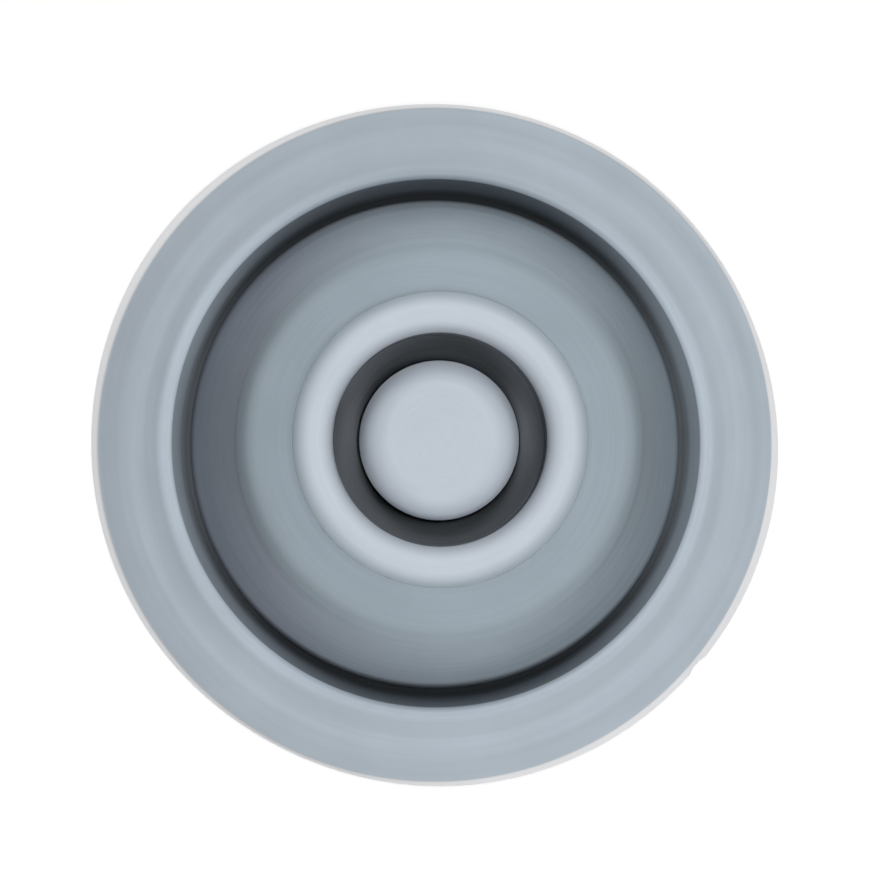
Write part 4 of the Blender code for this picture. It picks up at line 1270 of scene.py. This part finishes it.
floor_corners = np.array([(-1, -1, 0), (1, -1, 0), (1, 1, 0), (-1, 1, 0)]) * FLOOR_SIZE / 2
floor = add_piece("studio_floor", floor_corners - (0, 0, FLOOR_DROP), [[0, 1, 2, 3]])
floor_finish, tree, shader = new_material("floor_white")
shader.inputs["Base Color"].default_value = FLOOR_COLOUR
shader.inputs["Roughness"].default_value = FLOOR_ROUGHNESS
shader.inputs["Specular IOR Level"].default_value = 0.0
shader.inputs["Emission Color"].default_value = WHITE
glow = number_math(tree, "MULTIPLY", seen_directly(tree), FLOOR_GLOW)
plug(tree, shader, {"Emission Strength": glow})
floor.data.materials.append(floor_finish)
floor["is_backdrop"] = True

world = bpy.data.worlds.new("studio")
world.use_nodes = True
bpy.context.scene.world = world
sky = world.node_tree.nodes["Background"]
sky.inputs["Color"].default_value = WHITE
strength = ranged(world.node_tree, seen_directly(world.node_tree), WORLD_FILL, 1.0)
plug(world.node_tree, sky, {"Strength": strength})
print("floor glow", FLOOR_GLOW, "and world fill", WORLD_FILL)

# %% [markdown]
# Two softboxes light the object, one beyond it and one in front, low enough to leave the grooves dark
# where they run across the light and paler where they run along it. A faint low one beyond lights the
# steep far side, and a weaker one lifts the right. Each lamp's power follows from the level it should
# give on the floor: for an area lamp of power P at distance d and elevation e, it is P sin(e) / (pi d)^2.

# %% Lights
LIGHT_DISTANCE = 1.4
BOX_WIDTH = 0.6
SOFTBOXES = [
    ("softbox_near", -90, 44, 0.384, 0.70),
    ("softbox_far", 90, 54, 0.372, 0.36),
    ("softbox_low", 90, 15, 0.036, 0.36),
    ("softbox_right", 0, 60, 0.154, 0.36),
]


def softbox(name, azimuth, elevation, level, height):
    """An area lamp at (cos a cos e, sin a cos e, sin e) times the distance, turned to face the object."""
    lamp = bpy.data.lights.new(name, "AREA")
    lamp.shape = "RECTANGLE"
    lamp.size, lamp.size_y = BOX_WIDTH, height
    lamp.energy = level * (math.pi * LIGHT_DISTANCE) ** 2 / math.sin(elevation)
    place = bpy.data.objects.new(name, lamp)
    bpy.context.scene.collection.objects.link(place)
    flat, up = LIGHT_DISTANCE * math.cos(elevation), LIGHT_DISTANCE * math.sin(elevation)
    place.location = (flat * math.cos(azimuth), flat * math.sin(azimuth), up)
    place.rotation_euler = (math.pi / 2 - elevation, 0.0, azimuth + math.pi / 2)
    print(name, round(lamp.energy, 2), "W")


for name, azimuth, elevation, level, height in SOFTBOXES:
    softbox(name, math.radians(azimuth), math.radians(elevation), level, height)

# %% [markdown]
# The camera looks straight down, but not quite. In the photo the higher circles shift up and to the
# right, so it stands a few degrees to the lower left. Its lens follows from the width of floor that the
# picture spans, and the point it aims at from where the object's middle falls in the frame.

# %% Camera
PICTURE = (891, 879)
OBJECT_MIDDLE_PX = (434.85, 444.15)
OBJECT_RADIUS_PX = 342.3
CAMERA_DISTANCE = 1.0
CAMERA_TILT = math.radians(3.03)
CAMERA_AZIMUTH = math.radians(220.5)
SENSOR = 36.0
CLIP_START = 0.01

metres_per_px = skirt.outer / OBJECT_RADIUS_PX
aim = np.array([(PICTURE[0] / 2 - OBJECT_MIDDLE_PX[0]) * metres_per_px,
                (OBJECT_MIDDLE_PX[1] - PICTURE[1] / 2) * metres_per_px, 0.0])
back = np.array([math.sin(CAMERA_TILT) * math.cos(CAMERA_AZIMUTH),
                 math.sin(CAMERA_TILT) * math.sin(CAMERA_AZIMUTH), math.cos(CAMERA_TILT)])
right = np.cross((0.0, 1.0, 0.0), back)
right /= np.linalg.norm(right)
up = np.cross(back, right)
spot = aim + back * CAMERA_DISTANCE
camera = bpy.data.objects.new("camera", bpy.data.cameras.new("camera"))
bpy.context.scene.collection.objects.link(camera)
stand = np.eye(4)
stand[:3] = np.column_stack([right, up, back, spot])
camera.matrix_world = Matrix(stand.tolist())
camera.data.sensor_width = SENSOR
camera.data.sensor_fit = "HORIZONTAL"
camera.data.lens = SENSOR * CAMERA_DISTANCE / (PICTURE[0] * metres_per_px)
camera.data.clip_start = CLIP_START
bpy.context.scene.camera = camera
print("lens", round(camera.data.lens, 1), "mm at", [round(x, 3) for x in spot])

# %% [markdown]
# The picture is shown without any film look, so that colours come out as they are written.

# %% Finish
bpy.context.scene.view_settings.view_transform = "Standard"
low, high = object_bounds()
for title, span in (("visual", high - low), ("frame", cad_high - cad_low)):
    print(title, [round(x / MM, 1) for x in span], "mm")
